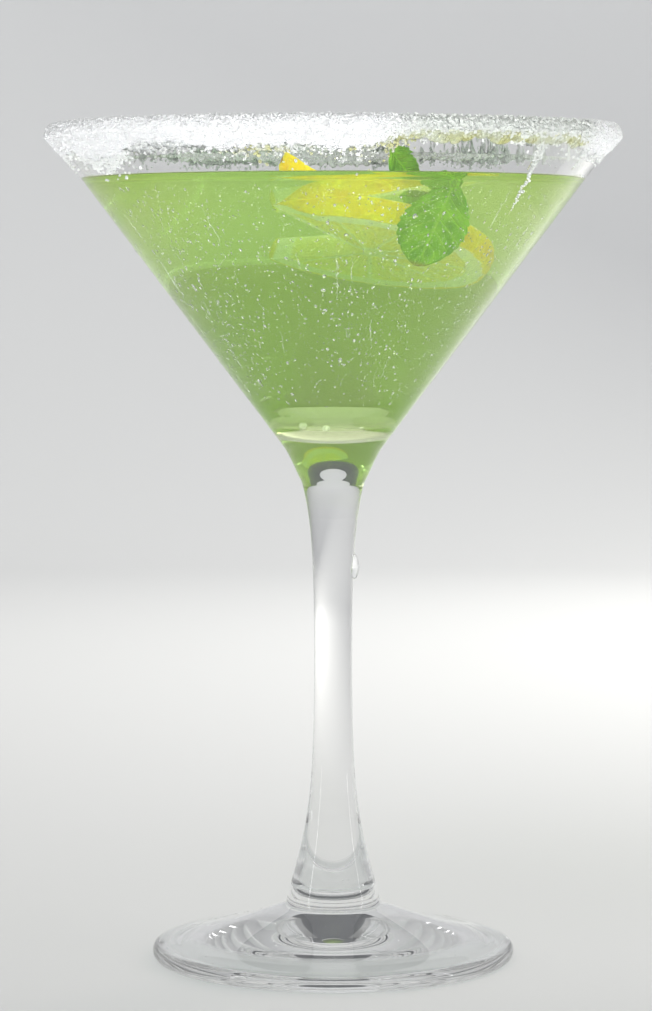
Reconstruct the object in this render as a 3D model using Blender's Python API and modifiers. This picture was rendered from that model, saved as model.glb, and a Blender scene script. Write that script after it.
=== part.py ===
"""A lemon drop martini: a stemmed cocktail glass with a sugared rim, filled with a cloudy pale green drink
in which a slit lemon wheel and two mint leaves float.

Metres, +Z up. The origin is the middle of the ring that the foot rests on.
"""

import math

import bmesh
import bpy
from mathutils import Matrix, Vector

MM = 0.001
TOUCH_GAP = 0.3 * MM
ROUND_STEPS = 48

# Glass
GLASS_HEIGHT = 171.6 * MM
BOWL_RIM_RADIUS = 58.85 * MM
BOWL_SLOPE = 0.754  # growth of the bowl's radius for each unit of height
BOWL_WALL = 1.3 * MM  # measured level, from the outer to the inner face
RIM_ROUNDING = 0.55 * MM
BOWL_CONE_BOTTOM = 108.0 * MM
BOWL_FLOOR = 111.3 * MM
FLOOR_DISH_RADIUS = 27.0 * MM
STEM_TOP = 100.0 * MM
STEM_WAIST_RADIUS = 3.9 * MM
STEM_SHOULDER_GROWTH = 2.73 * MM
STEM_SHOULDER_LENGTH = 9.0 * MM
STEM_SHOULDER_SLOPE = 0.55
STEM_BASE = 11.2 * MM
STEM_SKIRT_GROWTH = 6.0 * MM
STEM_SKIRT_LENGTH = 15.5 * MM
STEM_SKIRT_POWER = 1.35
FOOT_RADIUS = 37.9 * MM
FOOT_EDGE_HEIGHT = 3.2 * MM
FOOT_TOP_POWER = 1.35
FOOT_REST_INNER = 33.2 * MM
FOOT_REST_OUTER = 36.7 * MM
FOOT_HOLLOW = 4.2 * MM

# Drink
DRINK_LEVEL = 162.4 * MM

# Sugar on the rim
SUGAR_SIDE = 0.85 * MM  # how far the crust stands off the glass on either side
SUGAR_CROWN = 2.2 * MM  # how far it stands above the rim
SUGAR_DEPTH_OUTSIDE = 3.7 * MM
SUGAR_DEPTH_INSIDE = 3.7 * MM
SUGAR_UNEVEN = 1.1 * MM
SUGAR_STEPS = 64

# Lemon: part of a thick wheel, leaning towards the front with one corner out of the drink
LEMON_RADIUS = 21.5 * MM
LEMON_THICKNESS = 5.2 * MM
LEMON_HOLE_RADIUS = 1.3 * MM
LEMON_RIND_CROWN = 0.6 * MM
LEMON_CENTER = Vector((6.0, -8.0, 153.5)) * MM  # the middle of the under face
LEMON_FIRST_ANGLE = math.radians(-140)  # angles run from the right end (0) round by the front (90)
LEMON_LAST_ANGLE = math.radians(150)
LEMON_BACK_DROP = math.radians(10)
LEMON_RIGHT_DROP = math.radians(12)
LEMON_ARC_STEPS = 36
# beside its last cut the wheel is bent up, as a slit wheel is when it has hung on a rim
LEMON_FLAP_RISE = 4.0 * MM
LEMON_FLAP_START = math.radians(115)
LEMON_FLAP_POWER = 1.3

# Mint
MINT_THICKNESS = 0.8 * MM
MINT_LENGTH_STEPS = 12
MINT_WIDTH_STEPS = 6


def clear_scene():
    for found in list(bpy.data.objects):
        bpy.data.objects.remove(found, do_unlink=True)


def new_collection(name):
    made = bpy.data.collections.new(name)
    bpy.context.scene.collection.children.link(made)
    return made


def new_material(name, color, roughness, transmission=0.0):
    made = bpy.data.materials.new(name)
    made.use_nodes = True
    shader = made.node_tree.nodes["Principled BSDF"]
    shader.inputs["Base Color"].default_value = (*color, 1.0)
    shader.inputs["Roughness"].default_value = roughness
    shader.inputs["Metallic"].default_value = 0.0
    shader.inputs["Transmission Weight"].default_value = transmission
    made.diffuse_color = (*color, 1.0)
    return made


def add_object(name, mesh, collection, material=None):
    made = bpy.data.objects.new(name, mesh)
    collection.objects.link(made)
    if material:
        mesh.materials.append(material)
    return made


def as_cutter(piece):
    piece.hide_render = True
    piece.display_type = "WIRE"
    return piece


def turned(name, profile, collection, material=None, steps=ROUND_STEPS):
    """A solid of revolution. The profile lists (radius, height) from the axis to the axis."""
    mesh = bpy.data.meshes.new(name)
    points = [(radius, 0.0, height) for radius, height in profile]
    mesh.from_pydata(points, [(i, i + 1) for i in range(len(points) - 1)], [])
    made = add_object(name, mesh, collection, material)
    screw = made.modifiers.new("turn", "SCREW")
    screw.axis = "Z"
    screw.steps = screw.render_steps = steps
    screw.use_merge_vertices = True
    screw.merge_threshold = 0.01 * MM
    screw.use_smooth_shade = True
    return made


def lofted(name, sections, collection, material=None, ring=False, caps=True):
    """Faces between closed sections of equally many points. A ring joins the last section to the first."""
    shape = bmesh.new()
    rows = [[shape.verts.new(point) for point in section] for section in sections]
    pairs = list(zip(rows, rows[1:]))
    if ring:
        pairs.append((rows[-1], rows[0]))
    for near, far in pairs:
        for i in range(len(near)):
            j = (i + 1) % len(near)
            shape.faces.new((near[i], near[j], far[j], far[i]))
    if caps and not ring:
        shape.faces.new(rows[0])
        shape.faces.new(rows[-1])
    bmesh.ops.recalc_face_normals(shape, faces=shape.faces)
    if shape.calc_volume(signed=True) < 0:
        bmesh.ops.reverse_faces(shape, faces=shape.faces)
    mesh = bpy.data.meshes.new(name)
    shape.to_mesh(mesh)
    shape.free()
    mesh.shade_smooth()
    mesh.set_sharp_from_angle(angle=math.radians(35))
    return add_object(name, mesh, collection, material)


# --- The glass -------------------------------------------------------------------------------------------


def bowl_outer_radius(height):
    return BOWL_RIM_RADIUS - (GLASS_HEIGHT - height) * BOWL_SLOPE


def bowl_inner_radius(height):
    return bowl_outer_radius(height) - BOWL_WALL


def bowl_floor_points(inset=0.0, steps=6):
    """The inside of the bowl's bottom, from the axis to the cone, drawn inwards by an inset.

    It is part of a sphere centred on the axis. The sphere meets the cone where
    (floor + dish - height)^2 + radius^2 = dish^2 and radius = (height - tip) * slope, which is
    a quadratic in the height.
    """
    dish = FLOOR_DISH_RADIUS
    tip = GLASS_HEIGHT - (BOWL_RIM_RADIUS - BOWL_WALL - inset) / BOWL_SLOPE
    middle = BOWL_FLOOR + inset + dish
    a = 1 + BOWL_SLOPE**2
    b = middle + BOWL_SLOPE**2 * tip
    c = middle**2 + BOWL_SLOPE**2 * tip**2 - dish**2
    meeting = (b - math.sqrt(b * b - a * c)) / a
    reach = math.asin((meeting - tip) * BOWL_SLOPE / dish)
    turns = [reach * i / steps for i in range(steps + 1)]
    return [(dish * math.sin(turn), middle - dish * math.cos(turn)) for turn in turns]


def stem_radius(height):
    shoulder = STEM_SHOULDER_GROWTH * math.exp(-(STEM_TOP - height) / STEM_SHOULDER_LENGTH)
    skirt = STEM_SKIRT_GROWTH * math.exp(-(((height - STEM_BASE) / STEM_SKIRT_LENGTH) ** STEM_SKIRT_POWER))
    return STEM_WAIST_RADIUS + shoulder + skirt


def shoulder_radius(height):
    """A cubic that leaves the stem at its own slope and runs into the bowl's cone."""
    span = BOWL_CONE_BOTTOM - STEM_TOP
    t = (height - STEM_TOP) / span
    start, end = stem_radius(STEM_TOP), bowl_outer_radius(BOWL_CONE_BOTTOM)
    return (
        (1 + 2 * t) * (1 - t) ** 2 * start
        + t * (1 - t) ** 2 * span * STEM_SHOULDER_SLOPE
        + t * t * (3 - 2 * t) * end
        + t * t * (t - 1) * span * BOWL_SLOPE
    )


def foot_top_height(radius):
    inner = stem_radius(STEM_BASE)
    share = (FOOT_RADIUS - radius) / (FOOT_RADIUS - inner)
    return FOOT_EDGE_HEIGHT + (STEM_BASE - FOOT_EDGE_HEIGHT) * share**FOOT_TOP_POWER


def glass_profile():
    inside = bowl_floor_points()
    rim_height = GLASS_HEIGHT - RIM_ROUNDING
    rim_middle = bowl_outer_radius(rim_height) - BOWL_WALL / 2
    rim = []
    for degrees in (180, 135, 90, 45, 0):
        turn = math.radians(degrees)
        rim.append((rim_middle + BOWL_WALL / 2 * math.cos(turn), rim_height + RIM_ROUNDING * math.sin(turn)))
    bowl = [(bowl_outer_radius(140 * MM), 140 * MM)]
    shoulder_heights = [BOWL_CONE_BOTTOM - 1.6 * MM * i for i in range(6)]
    shoulder = [(shoulder_radius(h), h) for h in shoulder_heights if h > STEM_TOP]
    stem_heights = [100, 97, 93, 88, 82, 74, 64, 54, 46, 38, 31, 25, 19.5, 15, 12.4]
    stem = [(stem_radius(h * MM), h * MM) for h in stem_heights] + [(stem_radius(STEM_BASE), STEM_BASE)]
    foot = [(r * MM, foot_top_height(r * MM)) for r in (12, 16, 21, 26, 31, 35)]
    edge_middle = FOOT_EDGE_HEIGHT / 2
    edge_depth = FOOT_RADIUS - FOOT_REST_OUTER
    edge = []
    for degrees in (60, 25, -10, -50, -90):
        turn = math.radians(degrees)
        edge.append((FOOT_REST_OUTER + edge_depth * math.cos(turn), edge_middle * (1 + math.sin(turn))))
    hollow = [
        (FOOT_REST_INNER * share, FOOT_HOLLOW * (1 - share * share) ** 0.75)
        for share in (1.0, 0.93, 0.78, 0.55, 0.28, 0.0)
    ]
    return inside + rim + bowl + shoulder + stem + foot + edge + hollow


def make_glass(collection):
    clear_glass = new_material("clear_glass", (0.93, 0.96, 0.96), 0.02, 1.0)
    return turned("glass", glass_profile(), collection, clear_glass)


# --- The lemon and the mint ------------------------------------------------------------------------------


def lemon_axes():
    """The wheel's directions to its right end, to its front and up through its thickness."""
    front = Vector((0.0, -math.cos(LEMON_BACK_DROP), math.sin(LEMON_BACK_DROP)))
    level_up = Vector((0.0, math.sin(LEMON_BACK_DROP), math.cos(LEMON_BACK_DROP)))
    level_right = Vector((1.0, 0.0, 0.0))
    right = level_right * math.cos(LEMON_RIGHT_DROP) - level_up * math.sin(LEMON_RIGHT_DROP)
    up = level_up * math.cos(LEMON_RIGHT_DROP) + level_right * math.sin(LEMON_RIGHT_DROP)
    return right, front, up


def lemon_sections(grow=0.0):
    """The slit wheel as cuts from its core to its rind, one after another round its arc."""
    right, front, up = lemon_axes()
    half = LEMON_THICKNESS / 2
    outer = LEMON_RADIUS + grow
    levels = (-1.0, -0.5, 0.0, 0.5, 1.0)
    rind = [(outer - LEMON_RIND_CROWN * level * level, half + (half + grow) * level) for level in levels]
    inner = LEMON_HOLE_RADIUS - grow
    spread = [inner + (outer - LEMON_RIND_CROWN - inner) * share for share in (0.0, 0.3, 0.6, 0.85)]
    under = [(radius, -grow) for radius in spread]
    over = [(radius, LEMON_THICKNESS + grow) for radius in reversed(spread)]
    sections = []
    for i in range(LEMON_ARC_STEPS + 1):
        angle = LEMON_FIRST_ANGLE + (LEMON_LAST_ANGLE - LEMON_FIRST_ANGLE) * i / LEMON_ARC_STEPS
        outwards = right * math.cos(angle) + front * math.sin(angle)
        onwards = front * math.cos(angle) - right * math.sin(angle)
        past = {0: -grow, LEMON_ARC_STEPS: grow}.get(i, 0.0)
        share = min(max((angle - LEMON_FLAP_START) / (LEMON_LAST_ANGLE - LEMON_FLAP_START), 0.0), 1.0)
        rise = LEMON_FLAP_RISE * share * share * (3 - 2 * share)
        sections.append(
            [
                LEMON_CENTER
                + outwards * radius
                + onwards * past
                + up * (depth + rise * (radius / LEMON_RADIUS) ** LEMON_FLAP_POWER)
                for radius, depth in under + rind + over
            ]
        )
    return sections


def leaf_point(leaf, along, across, grow=0.0):
    """A point of a leaf's middle surface: along runs from tip (0) to stalk (1), across from edge to edge."""
    length = leaf["length"] + 2 * grow
    start = along * length - grow
    swell = math.sin(math.pi * min(max(along, 0.0), 1.0) ** leaf["fullness"]) ** 0.8
    half_width = leaf["width"] / 2 * (0.05 + 0.95 * swell) + grow
    side = across * half_width
    # the blade curls backwards along its length and folds up a little on both sides of the midrib
    curl = leaf["curl"]
    bend = curl * start / leaf["length"]
    run = leaf["length"] / curl * math.sin(bend)
    lift = leaf["length"] / curl * (1 - math.cos(bend))
    fold = leaf["fold"] * side**2 / (leaf["width"] / 2)
    wave = 0.03 * leaf["width"] * math.sin(2.2 * math.pi * along + 1.3 * across) * abs(across)
    return leaf["place"] @ Vector((side, run - math.sin(bend) * fold, lift + math.cos(bend) * (fold + wave)))


def leaf_sections(leaf, grow=0.0):
    """The blade as thin closed bands from tip to stalk, each with an upper and an under side."""
    half = MINT_THICKNESS / 2 + grow
    sections = []
    for i in range(MINT_LENGTH_STEPS + 1):
        along = i / MINT_LENGTH_STEPS
        upper, under = [], []
        for j in range(MINT_WIDTH_STEPS + 1):
            across = -1 + 2 * j / MINT_WIDTH_STEPS
            here = leaf_point(leaf, along, across, grow)
            ahead, behind = (leaf_point(leaf, along + step, across, grow) for step in (0.01, -0.01))
            right, left = (leaf_point(leaf, along, across + step, grow) for step in (0.02, -0.02))
            normal = (right - left).cross(ahead - behind).normalized()
            upper.append(here + normal * half)
            under.append(here - normal * half)
        sections.append(upper + under[::-1])
    return sections


def leaf_place(tip, toward, facing):
    """A frame with its y axis from the tip along the midrib and its z axis to the upper side."""
    y_axis = (Vector(toward) - Vector(tip)).normalized()
    x_axis = y_axis.cross(Vector(facing)).normalized()
    z_axis = x_axis.cross(y_axis)
    turn = Matrix((x_axis, y_axis, z_axis)).transposed().to_4x4()
    return Matrix.Translation(Vector(tip) * MM) @ turn


MINT_LEAVES = {
    "mint_leaf_large": {
        "length": 19.5 * MM, "width": 14.5 * MM, "fullness": 0.85, "curl": 0.3, "fold": 0.1,
        "place": leaf_place((16.0, -30.0, 145.8), (22.3, -30.9, 163.6), (0.05, -1.0, 0.1)),
    },
    "mint_leaf_small": {
        "length": 9.5 * MM, "width": 7.0 * MM, "fullness": 0.9, "curl": 0.2, "fold": 0.06,
        "place": leaf_place((16.6, -23.2, 161.3), (11.4, -27.0, 167.0), (0.1, -1.0, 0.3)),
    },
}


def make_lemon(collection):
    material = new_material("lemon", (0.95, 0.78, 0.12), 0.45)
    return lofted("lemon_slice", lemon_sections(), collection, material)


def make_mint(collection):
    material = new_material("mint", (0.12, 0.36, 0.04), 0.5)
    return [lofted(name, leaf_sections(leaf), collection, material) for name, leaf in MINT_LEAVES.items()]


# --- The drink -------------------------------------------------------------------------------------------


def drink_profile():
    """The inside of the bowl up to the drink's level, a touching gap off the glass."""
    level_gap = TOUCH_GAP * math.hypot(1.0, BOWL_SLOPE)
    side = bowl_floor_points(inset=level_gap)
    wall = [(bowl_inner_radius(h) - level_gap, h) for h in (130 * MM, 146 * MM, DRINK_LEVEL)]
    return [(0.0, DRINK_LEVEL)] + wall[::-1] + side[::-1]


def make_drink(collection, cutters):
    material = new_material("cloudy_drink", (0.62, 0.76, 0.42), 0.1, 0.4)
    drink = turned("drink", drink_profile(), collection, material)
    grown = {"lemon_room": lemon_sections(TOUCH_GAP)}
    for name, leaf in MINT_LEAVES.items():
        grown[name + "_room"] = leaf_sections(leaf, TOUCH_GAP)
    for name, sections in grown.items():
        cut = drink.modifiers.new(name, "BOOLEAN")
        cut.operation = "DIFFERENCE"
        cut.solver = "EXACT"
        cut.object = as_cutter(lofted(name, sections, cutters))
    return drink


# --- The sugar -------------------------------------------------------------------------------------------


def sugar_unevenness(angle, phase):
    """A smooth ripple between -1 and 1 that closes on itself round the rim."""
    slow = 0.5 * math.sin(5 * angle + phase) + 0.3 * math.sin(11 * angle + 2.1 * phase)
    return slow + 0.2 * math.sin(17 * angle)


def sugar_section(angle):
    """The crust cut across: a crown over the rim with two legs, whose ends lie at uneven heights."""
    gap = TOUCH_GAP * math.hypot(1.0, BOWL_SLOPE)
    outside_end = GLASS_HEIGHT - SUGAR_DEPTH_OUTSIDE + SUGAR_UNEVEN * sugar_unevenness(angle, 0.7)
    inside_end = GLASS_HEIGHT - SUGAR_DEPTH_INSIDE + SUGAR_UNEVEN * sugar_unevenness(angle, 2.9)
    lumps = 0.12 * math.sin(9 * angle + 1.1) * math.sin(4 * angle)
    side = SUGAR_SIDE * (1 + lumps)
    crown = SUGAR_CROWN * (1 - lumps)
    rim_middle = BOWL_RIM_RADIUS - BOWL_WALL / 2
    top = GLASS_HEIGHT + TOUCH_GAP

    def outside(height, away):
        return (bowl_outer_radius(height) + gap + away, height)

    def inside(height, away):
        return (bowl_inner_radius(height) - gap - away, height)

    crust = [
        outside(outside_end, 0.0),
        outside(outside_end + 0.4 * MM, 0.5 * side),
        outside((outside_end + GLASS_HEIGHT) / 2, 0.8 * side),
        outside(GLASS_HEIGHT - 0.3 * MM, 0.9 * side),
        (rim_middle + 1.3 * MM, top + 0.45 * crown),
        (rim_middle + 0.7 * MM, top + 0.88 * crown),
        (rim_middle - 0.1 * MM, top + crown),
        (rim_middle - 0.9 * MM, top + 0.8 * crown),
        (rim_middle - 1.6 * MM, top + 0.35 * crown),
        inside(GLASS_HEIGHT - 0.8 * MM, 1.1 * side),
        inside((inside_end + GLASS_HEIGHT) / 2, 0.9 * side),
        inside(inside_end + 0.4 * MM, 0.5 * side),
        inside(inside_end, 0.0),
        inside(GLASS_HEIGHT - 0.2 * MM, 0.0),
        (rim_middle, top),
        outside(GLASS_HEIGHT - 0.2 * MM, 0.0),
    ]
    return [Vector((r * math.cos(angle), r * math.sin(angle), z)) for r, z in crust]


def make_sugar(collection):
    sections = [sugar_section(2 * math.pi * i / SUGAR_STEPS) for i in range(SUGAR_STEPS)]
    material = new_material("sugar", (0.93, 0.94, 0.93), 0.6)
    return lofted("sugar_rim", sections, collection, material, ring=True)


def main():
    clear_scene()
    parts = new_collection("lemon_drop_martini")
    cutters = new_collection("cutters")
    make_glass(parts)
    make_lemon(parts)
    make_mint(parts)
    make_drink(parts, cutters)
    make_sugar(parts)


main()
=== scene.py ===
"""The looks of a lemon drop martini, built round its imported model.

A stemmed cocktail glass with a sugared rim holds a cloudy pale green drink, a thick slit lemon wheel and two
mint leaves. Every piece is a surface worked out with numpy, in metres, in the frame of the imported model.
"""

from __future__ import annotations

import logging
import math
from dataclasses import dataclass
from enum import Enum, IntEnum

import bmesh
import bpy
import numpy as np
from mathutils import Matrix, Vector

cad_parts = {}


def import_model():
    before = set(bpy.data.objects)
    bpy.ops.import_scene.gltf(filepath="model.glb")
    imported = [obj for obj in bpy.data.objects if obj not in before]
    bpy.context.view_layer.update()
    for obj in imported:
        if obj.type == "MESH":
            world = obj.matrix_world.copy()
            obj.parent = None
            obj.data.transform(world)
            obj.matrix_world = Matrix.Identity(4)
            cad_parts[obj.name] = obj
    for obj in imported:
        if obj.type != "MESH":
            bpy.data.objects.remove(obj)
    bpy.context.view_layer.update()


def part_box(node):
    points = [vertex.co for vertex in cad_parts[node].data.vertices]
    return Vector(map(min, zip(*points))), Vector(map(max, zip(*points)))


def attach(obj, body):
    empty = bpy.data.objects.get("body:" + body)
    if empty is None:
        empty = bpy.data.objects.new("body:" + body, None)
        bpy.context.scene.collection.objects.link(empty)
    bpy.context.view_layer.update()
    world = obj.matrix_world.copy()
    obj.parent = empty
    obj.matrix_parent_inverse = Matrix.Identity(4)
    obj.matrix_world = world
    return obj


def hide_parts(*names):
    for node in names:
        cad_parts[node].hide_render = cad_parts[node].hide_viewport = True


MM = 0.001
FRONT = math.radians(-90)
BODY = "root"
Color = tuple[float, float, float]
Socket = bpy.types.NodeSocket


class Seed(IntEnum):
    """What each random pattern starts from, so that it comes out the same every time."""

    RIND_LUMPS = 3
    RUN_BEADING = 3
    RIND_EDGE = 5
    CUT_ROUGHNESS = 7
    FLESH_UNDER = 11
    FLESH_TOP = 12
    LEG_RAGGED = 21
    LEG_FINE = 22
    CRUST_COARSE = 31
    CRUST_FINE = 32
    SCALLOP_SHIFT = 41
    SCALLOP_DEPTH = 42
    MELTED_LUMPS = 43
    SYRUP_GRAINS = 52
    BEADS = 61
    WATER_RUNS = 62
    FOOT_SPECKS = 64
    BUBBLES = 71
    SUGAR_GRAINS = 404


logging.basicConfig(level=logging.INFO, format="%(name)s: %(message)s")
log = logging.getLogger("martini")


# --- Surfaces -----------------------------------------------------------------------------------------


def grid_quads(rows: int, columns: int, wrap_rows: bool = False, wrap_columns: bool = False) -> np.ndarray:
    """Quads between neighbouring points of a grid stored row by row.

    Args:
        rows: number of rows.
        columns: number of points in a row.
        wrap_rows: joins the last row to the first.
        wrap_columns: joins the last column to the first.

    Returns:
        The corner indices, one quad a line.
    """
    row = np.arange(rows if wrap_rows else rows - 1)
    column = np.arange(columns if wrap_columns else columns - 1)
    r, c = (a.ravel() for a in np.meshgrid(row, column, indexing="ij"))
    r_next, c_next = (r + 1) % rows, (c + 1) % columns
    here, ahead = r * columns, r_next * columns
    return np.stack([here + c, here + c_next, ahead + c_next, ahead + c], -1)


def signed_volume(points: np.ndarray, faces: list[np.ndarray]) -> float:
    """Six times the volume that closed faces hold, negative where they point inwards.

    Args:
        points: one point a line.
        faces: arrays of corner indices, each of one corner count.

    Returns:
        Six times the volume.
    """
    total = 0.0
    for corners in faces:
        for i in range(1, corners.shape[1] - 1):
            a, b, c = points[corners[:, 0]], points[corners[:, i]], points[corners[:, i + 1]]
            total += float(np.einsum("ij,ij->", a, np.cross(b, c)))
    return total


def make_piece(
    name: str, points: np.ndarray, faces: list[np.ndarray], smooth: bool = True
) -> bpy.types.Object:
    """Puts a closed surface into a new object at the origin, with its faces turned outwards.

    Args:
        name: the piece's name.
        points: one point a line, in metres.
        faces: arrays of corner indices, each of one corner count.
        smooth: shades the surface smooth.

    Returns:
        The new object, linked to the scene.
    """
    if signed_volume(points, faces) < 0:
        faces = [corners[:, ::-1] for corners in faces]
    mesh = bpy.data.meshes.new(name)
    mesh.from_pydata(points.tolist(), [], [face for corners in faces for face in corners.tolist()])
    mesh.update()
    if smooth:
        mesh.shade_smooth()
    made = bpy.data.objects.new(name, mesh)
    bpy.context.scene.collection.objects.link(made)
    return made


def add_mask(piece: bpy.types.Object, name: str, values: np.ndarray) -> None:
    """Stores one number for each point, which a material reads as an attribute."""
    layer = piece.data.attributes.new(name, "FLOAT", "POINT")
    layer.data.foreach_set("value", np.ascontiguousarray(values, np.float32).ravel())


def round_axis(
    radius: np.ndarray | float, angle: np.ndarray | float, height: np.ndarray | float
) -> np.ndarray:
    """Points at a radius from Z, an angle round it and a height: (r cos a, r sin a, z).

    Args:
        radius: distances from the axis.
        angle: angles round it.
        height: heights along it.

    Returns:
        One point for each.
    """
    x, y, z = np.broadcast_arrays(radius * np.cos(angle), radius * np.sin(angle), height)
    return np.stack([x, y, z], -1)


def revolved(profile: np.ndarray, steps: int) -> tuple[np.ndarray, list[np.ndarray]]:
    """A profile turned round Z. Its first and last points lie on the axis, where each closes in a fan.

    Args:
        profile: radius and height, one point a line.
        steps: points round a turn.

    Returns:
        The points and the faces.
    """
    angle = np.linspace(0, 2 * np.pi, steps, endpoint=False)
    radius, height = profile[1:-1, 0], profile[1:-1, 1]
    rings = round_axis(radius[:, None], angle, height[:, None]).reshape(-1, 3)
    points = np.vstack([rings, [[0, 0, profile[0, 1]], [0, 0, profile[-1, 1]]]])
    first, last = len(rings), len(rings) + 1
    here = np.arange(steps)
    ahead = (here + 1) % steps
    start = np.stack([np.full(steps, first), ahead, here], -1)
    base = (len(radius) - 1) * steps
    end = np.stack([np.full(steps, last), base + here, base + ahead], -1)
    return points, [grid_quads(len(radius), steps, wrap_columns=True), start, end]


def smooth_step(values: np.ndarray, low: float, high: float) -> np.ndarray:
    """0 below low, 1 above high, and a smooth rise between, 3t^2 - 2t^3.

    Args:
        values: the numbers to shape.
        low: where the rise starts.
        high: where the rise ends.

    Returns:
        One number between 0 and 1 for each value.
    """
    t = np.clip((values - low) / (high - low), 0, 1)
    return t * t * (3 - 2 * t)


def waves(coordinates: np.ndarray, seed: int, scale: float, count: int = 24) -> np.ndarray:
    """Smooth noise: a sum of sines of random direction and phase, each of about one wave length.

    Args:
        coordinates: points, one a line.
        seed: picks the directions and phases.
        scale: the mean wave length, in the coordinates' unit.
        count: how many sines are added.

    Returns:
        One number for each point, mostly between -1 and 1.
    """
    draw = np.random.default_rng(seed)
    direction = draw.normal(size=(count, coordinates.shape[-1]))
    direction /= np.linalg.norm(direction, axis=1, keepdims=True)
    pace = 2 * np.pi / (scale * draw.uniform(0.7, 1.5, count))
    phase = draw.uniform(0, 2 * np.pi, count)
    flat = coordinates.reshape(-1, coordinates.shape[-1])
    total = np.sin(flat @ (direction * pace[:, None]).T + phase).sum(1)
    return (total / math.sqrt(count / 2) * 0.5).reshape(coordinates.shape[:-1])


def scattered(
    template: np.ndarray, faces: np.ndarray, frames: np.ndarray, centers: np.ndarray
) -> tuple[np.ndarray, np.ndarray]:
    """Copies of one small shape, each with its own scale, turn and place, joined into one mesh.

    Args:
        template: the shape's points.
        faces: its corner indices.
        frames: a 3x3 matrix for each copy, whose columns are the copy's scaled axes.
        centers: each copy's place.

    Returns:
        All points and all corner indices.
    """
    points = np.einsum("nij,kj->nki", frames, template) + centers[:, None, :]
    shift = (np.arange(len(centers)) * len(template))[:, None, None]
    return points.reshape(-1, 3), (faces[None] + shift).reshape(-1, faces.shape[1])


def random_turns(draw: np.random.Generator, count: int) -> np.ndarray:
    """Evenly spread rotation matrices, from unit quaternions.

    Args:
        draw: the random generator.
        count: how many turns.

    Returns:
        One 3x3 matrix for each turn.
    """
    q = draw.normal(size=(count, 4))
    q /= np.linalg.norm(q, axis=1, keepdims=True)
    w, x, y, z = q.T
    return np.stack(
        [
            np.stack([1 - 2 * (y * y + z * z), 2 * (x * y - w * z), 2 * (x * z + w * y)], -1),
            np.stack([2 * (x * y + w * z), 1 - 2 * (x * x + z * z), 2 * (y * z - w * x)], -1),
            np.stack([2 * (x * z - w * y), 2 * (y * z + w * x), 1 - 2 * (x * x + y * y)], -1),
        ],
        1,
    )


def place(piece: bpy.types.Object, finish: bpy.types.Material, slot: str, *nodes: str) -> bpy.types.Object:
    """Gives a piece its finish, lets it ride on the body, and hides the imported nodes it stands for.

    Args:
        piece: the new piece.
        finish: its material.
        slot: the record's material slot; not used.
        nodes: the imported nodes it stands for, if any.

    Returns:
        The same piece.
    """
    piece.data.materials.clear()
    piece.data.materials.append(finish)
    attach(piece, BODY)
    if nodes:
        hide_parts(*nodes)
    triangles = sum(len(face.vertices) - 2 for face in piece.data.polygons)
    log.info("%s: %d triangles", piece.name, triangles)
    return piece


# --- Finishes -----------------------------------------------------------------------------------------


def fine_grain() -> bpy.types.NodeTree:
    """The grain that sugar, syrup, lemon and mint share: layered noise, stretched to run from 0 to 1.

    Returns:
        The node group, built at the first call and found again after that.
    """
    found = bpy.data.node_groups.get("fine_grain")
    if found:
        return found
    group = bpy.data.node_groups.new("fine_grain", "ShaderNodeTree")
    group.interface.new_socket("Place", in_out="INPUT", socket_type="NodeSocketVector")
    for name in ("Scale", "Detail", "Low", "High"):
        group.interface.new_socket(name, in_out="INPUT", socket_type="NodeSocketFloat")
    group.interface.new_socket("Grain", in_out="OUTPUT", socket_type="NodeSocketFloat")
    start, end = group.nodes.new("NodeGroupInput"), group.nodes.new("NodeGroupOutput")
    noise, stretch = group.nodes.new("ShaderNodeTexNoise"), group.nodes.new("ShaderNodeMapRange")
    group.links.new(start.outputs["Place"], noise.inputs["Vector"])
    group.links.new(start.outputs["Scale"], noise.inputs["Scale"])
    group.links.new(start.outputs["Detail"], noise.inputs["Detail"])
    group.links.new(noise.outputs["Fac"], stretch.inputs["Value"])
    group.links.new(start.outputs["Low"], stretch.inputs["From Min"])
    group.links.new(start.outputs["High"], stretch.inputs["From Max"])
    group.links.new(stretch.outputs["Result"], end.inputs["Grain"])
    return group


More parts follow.
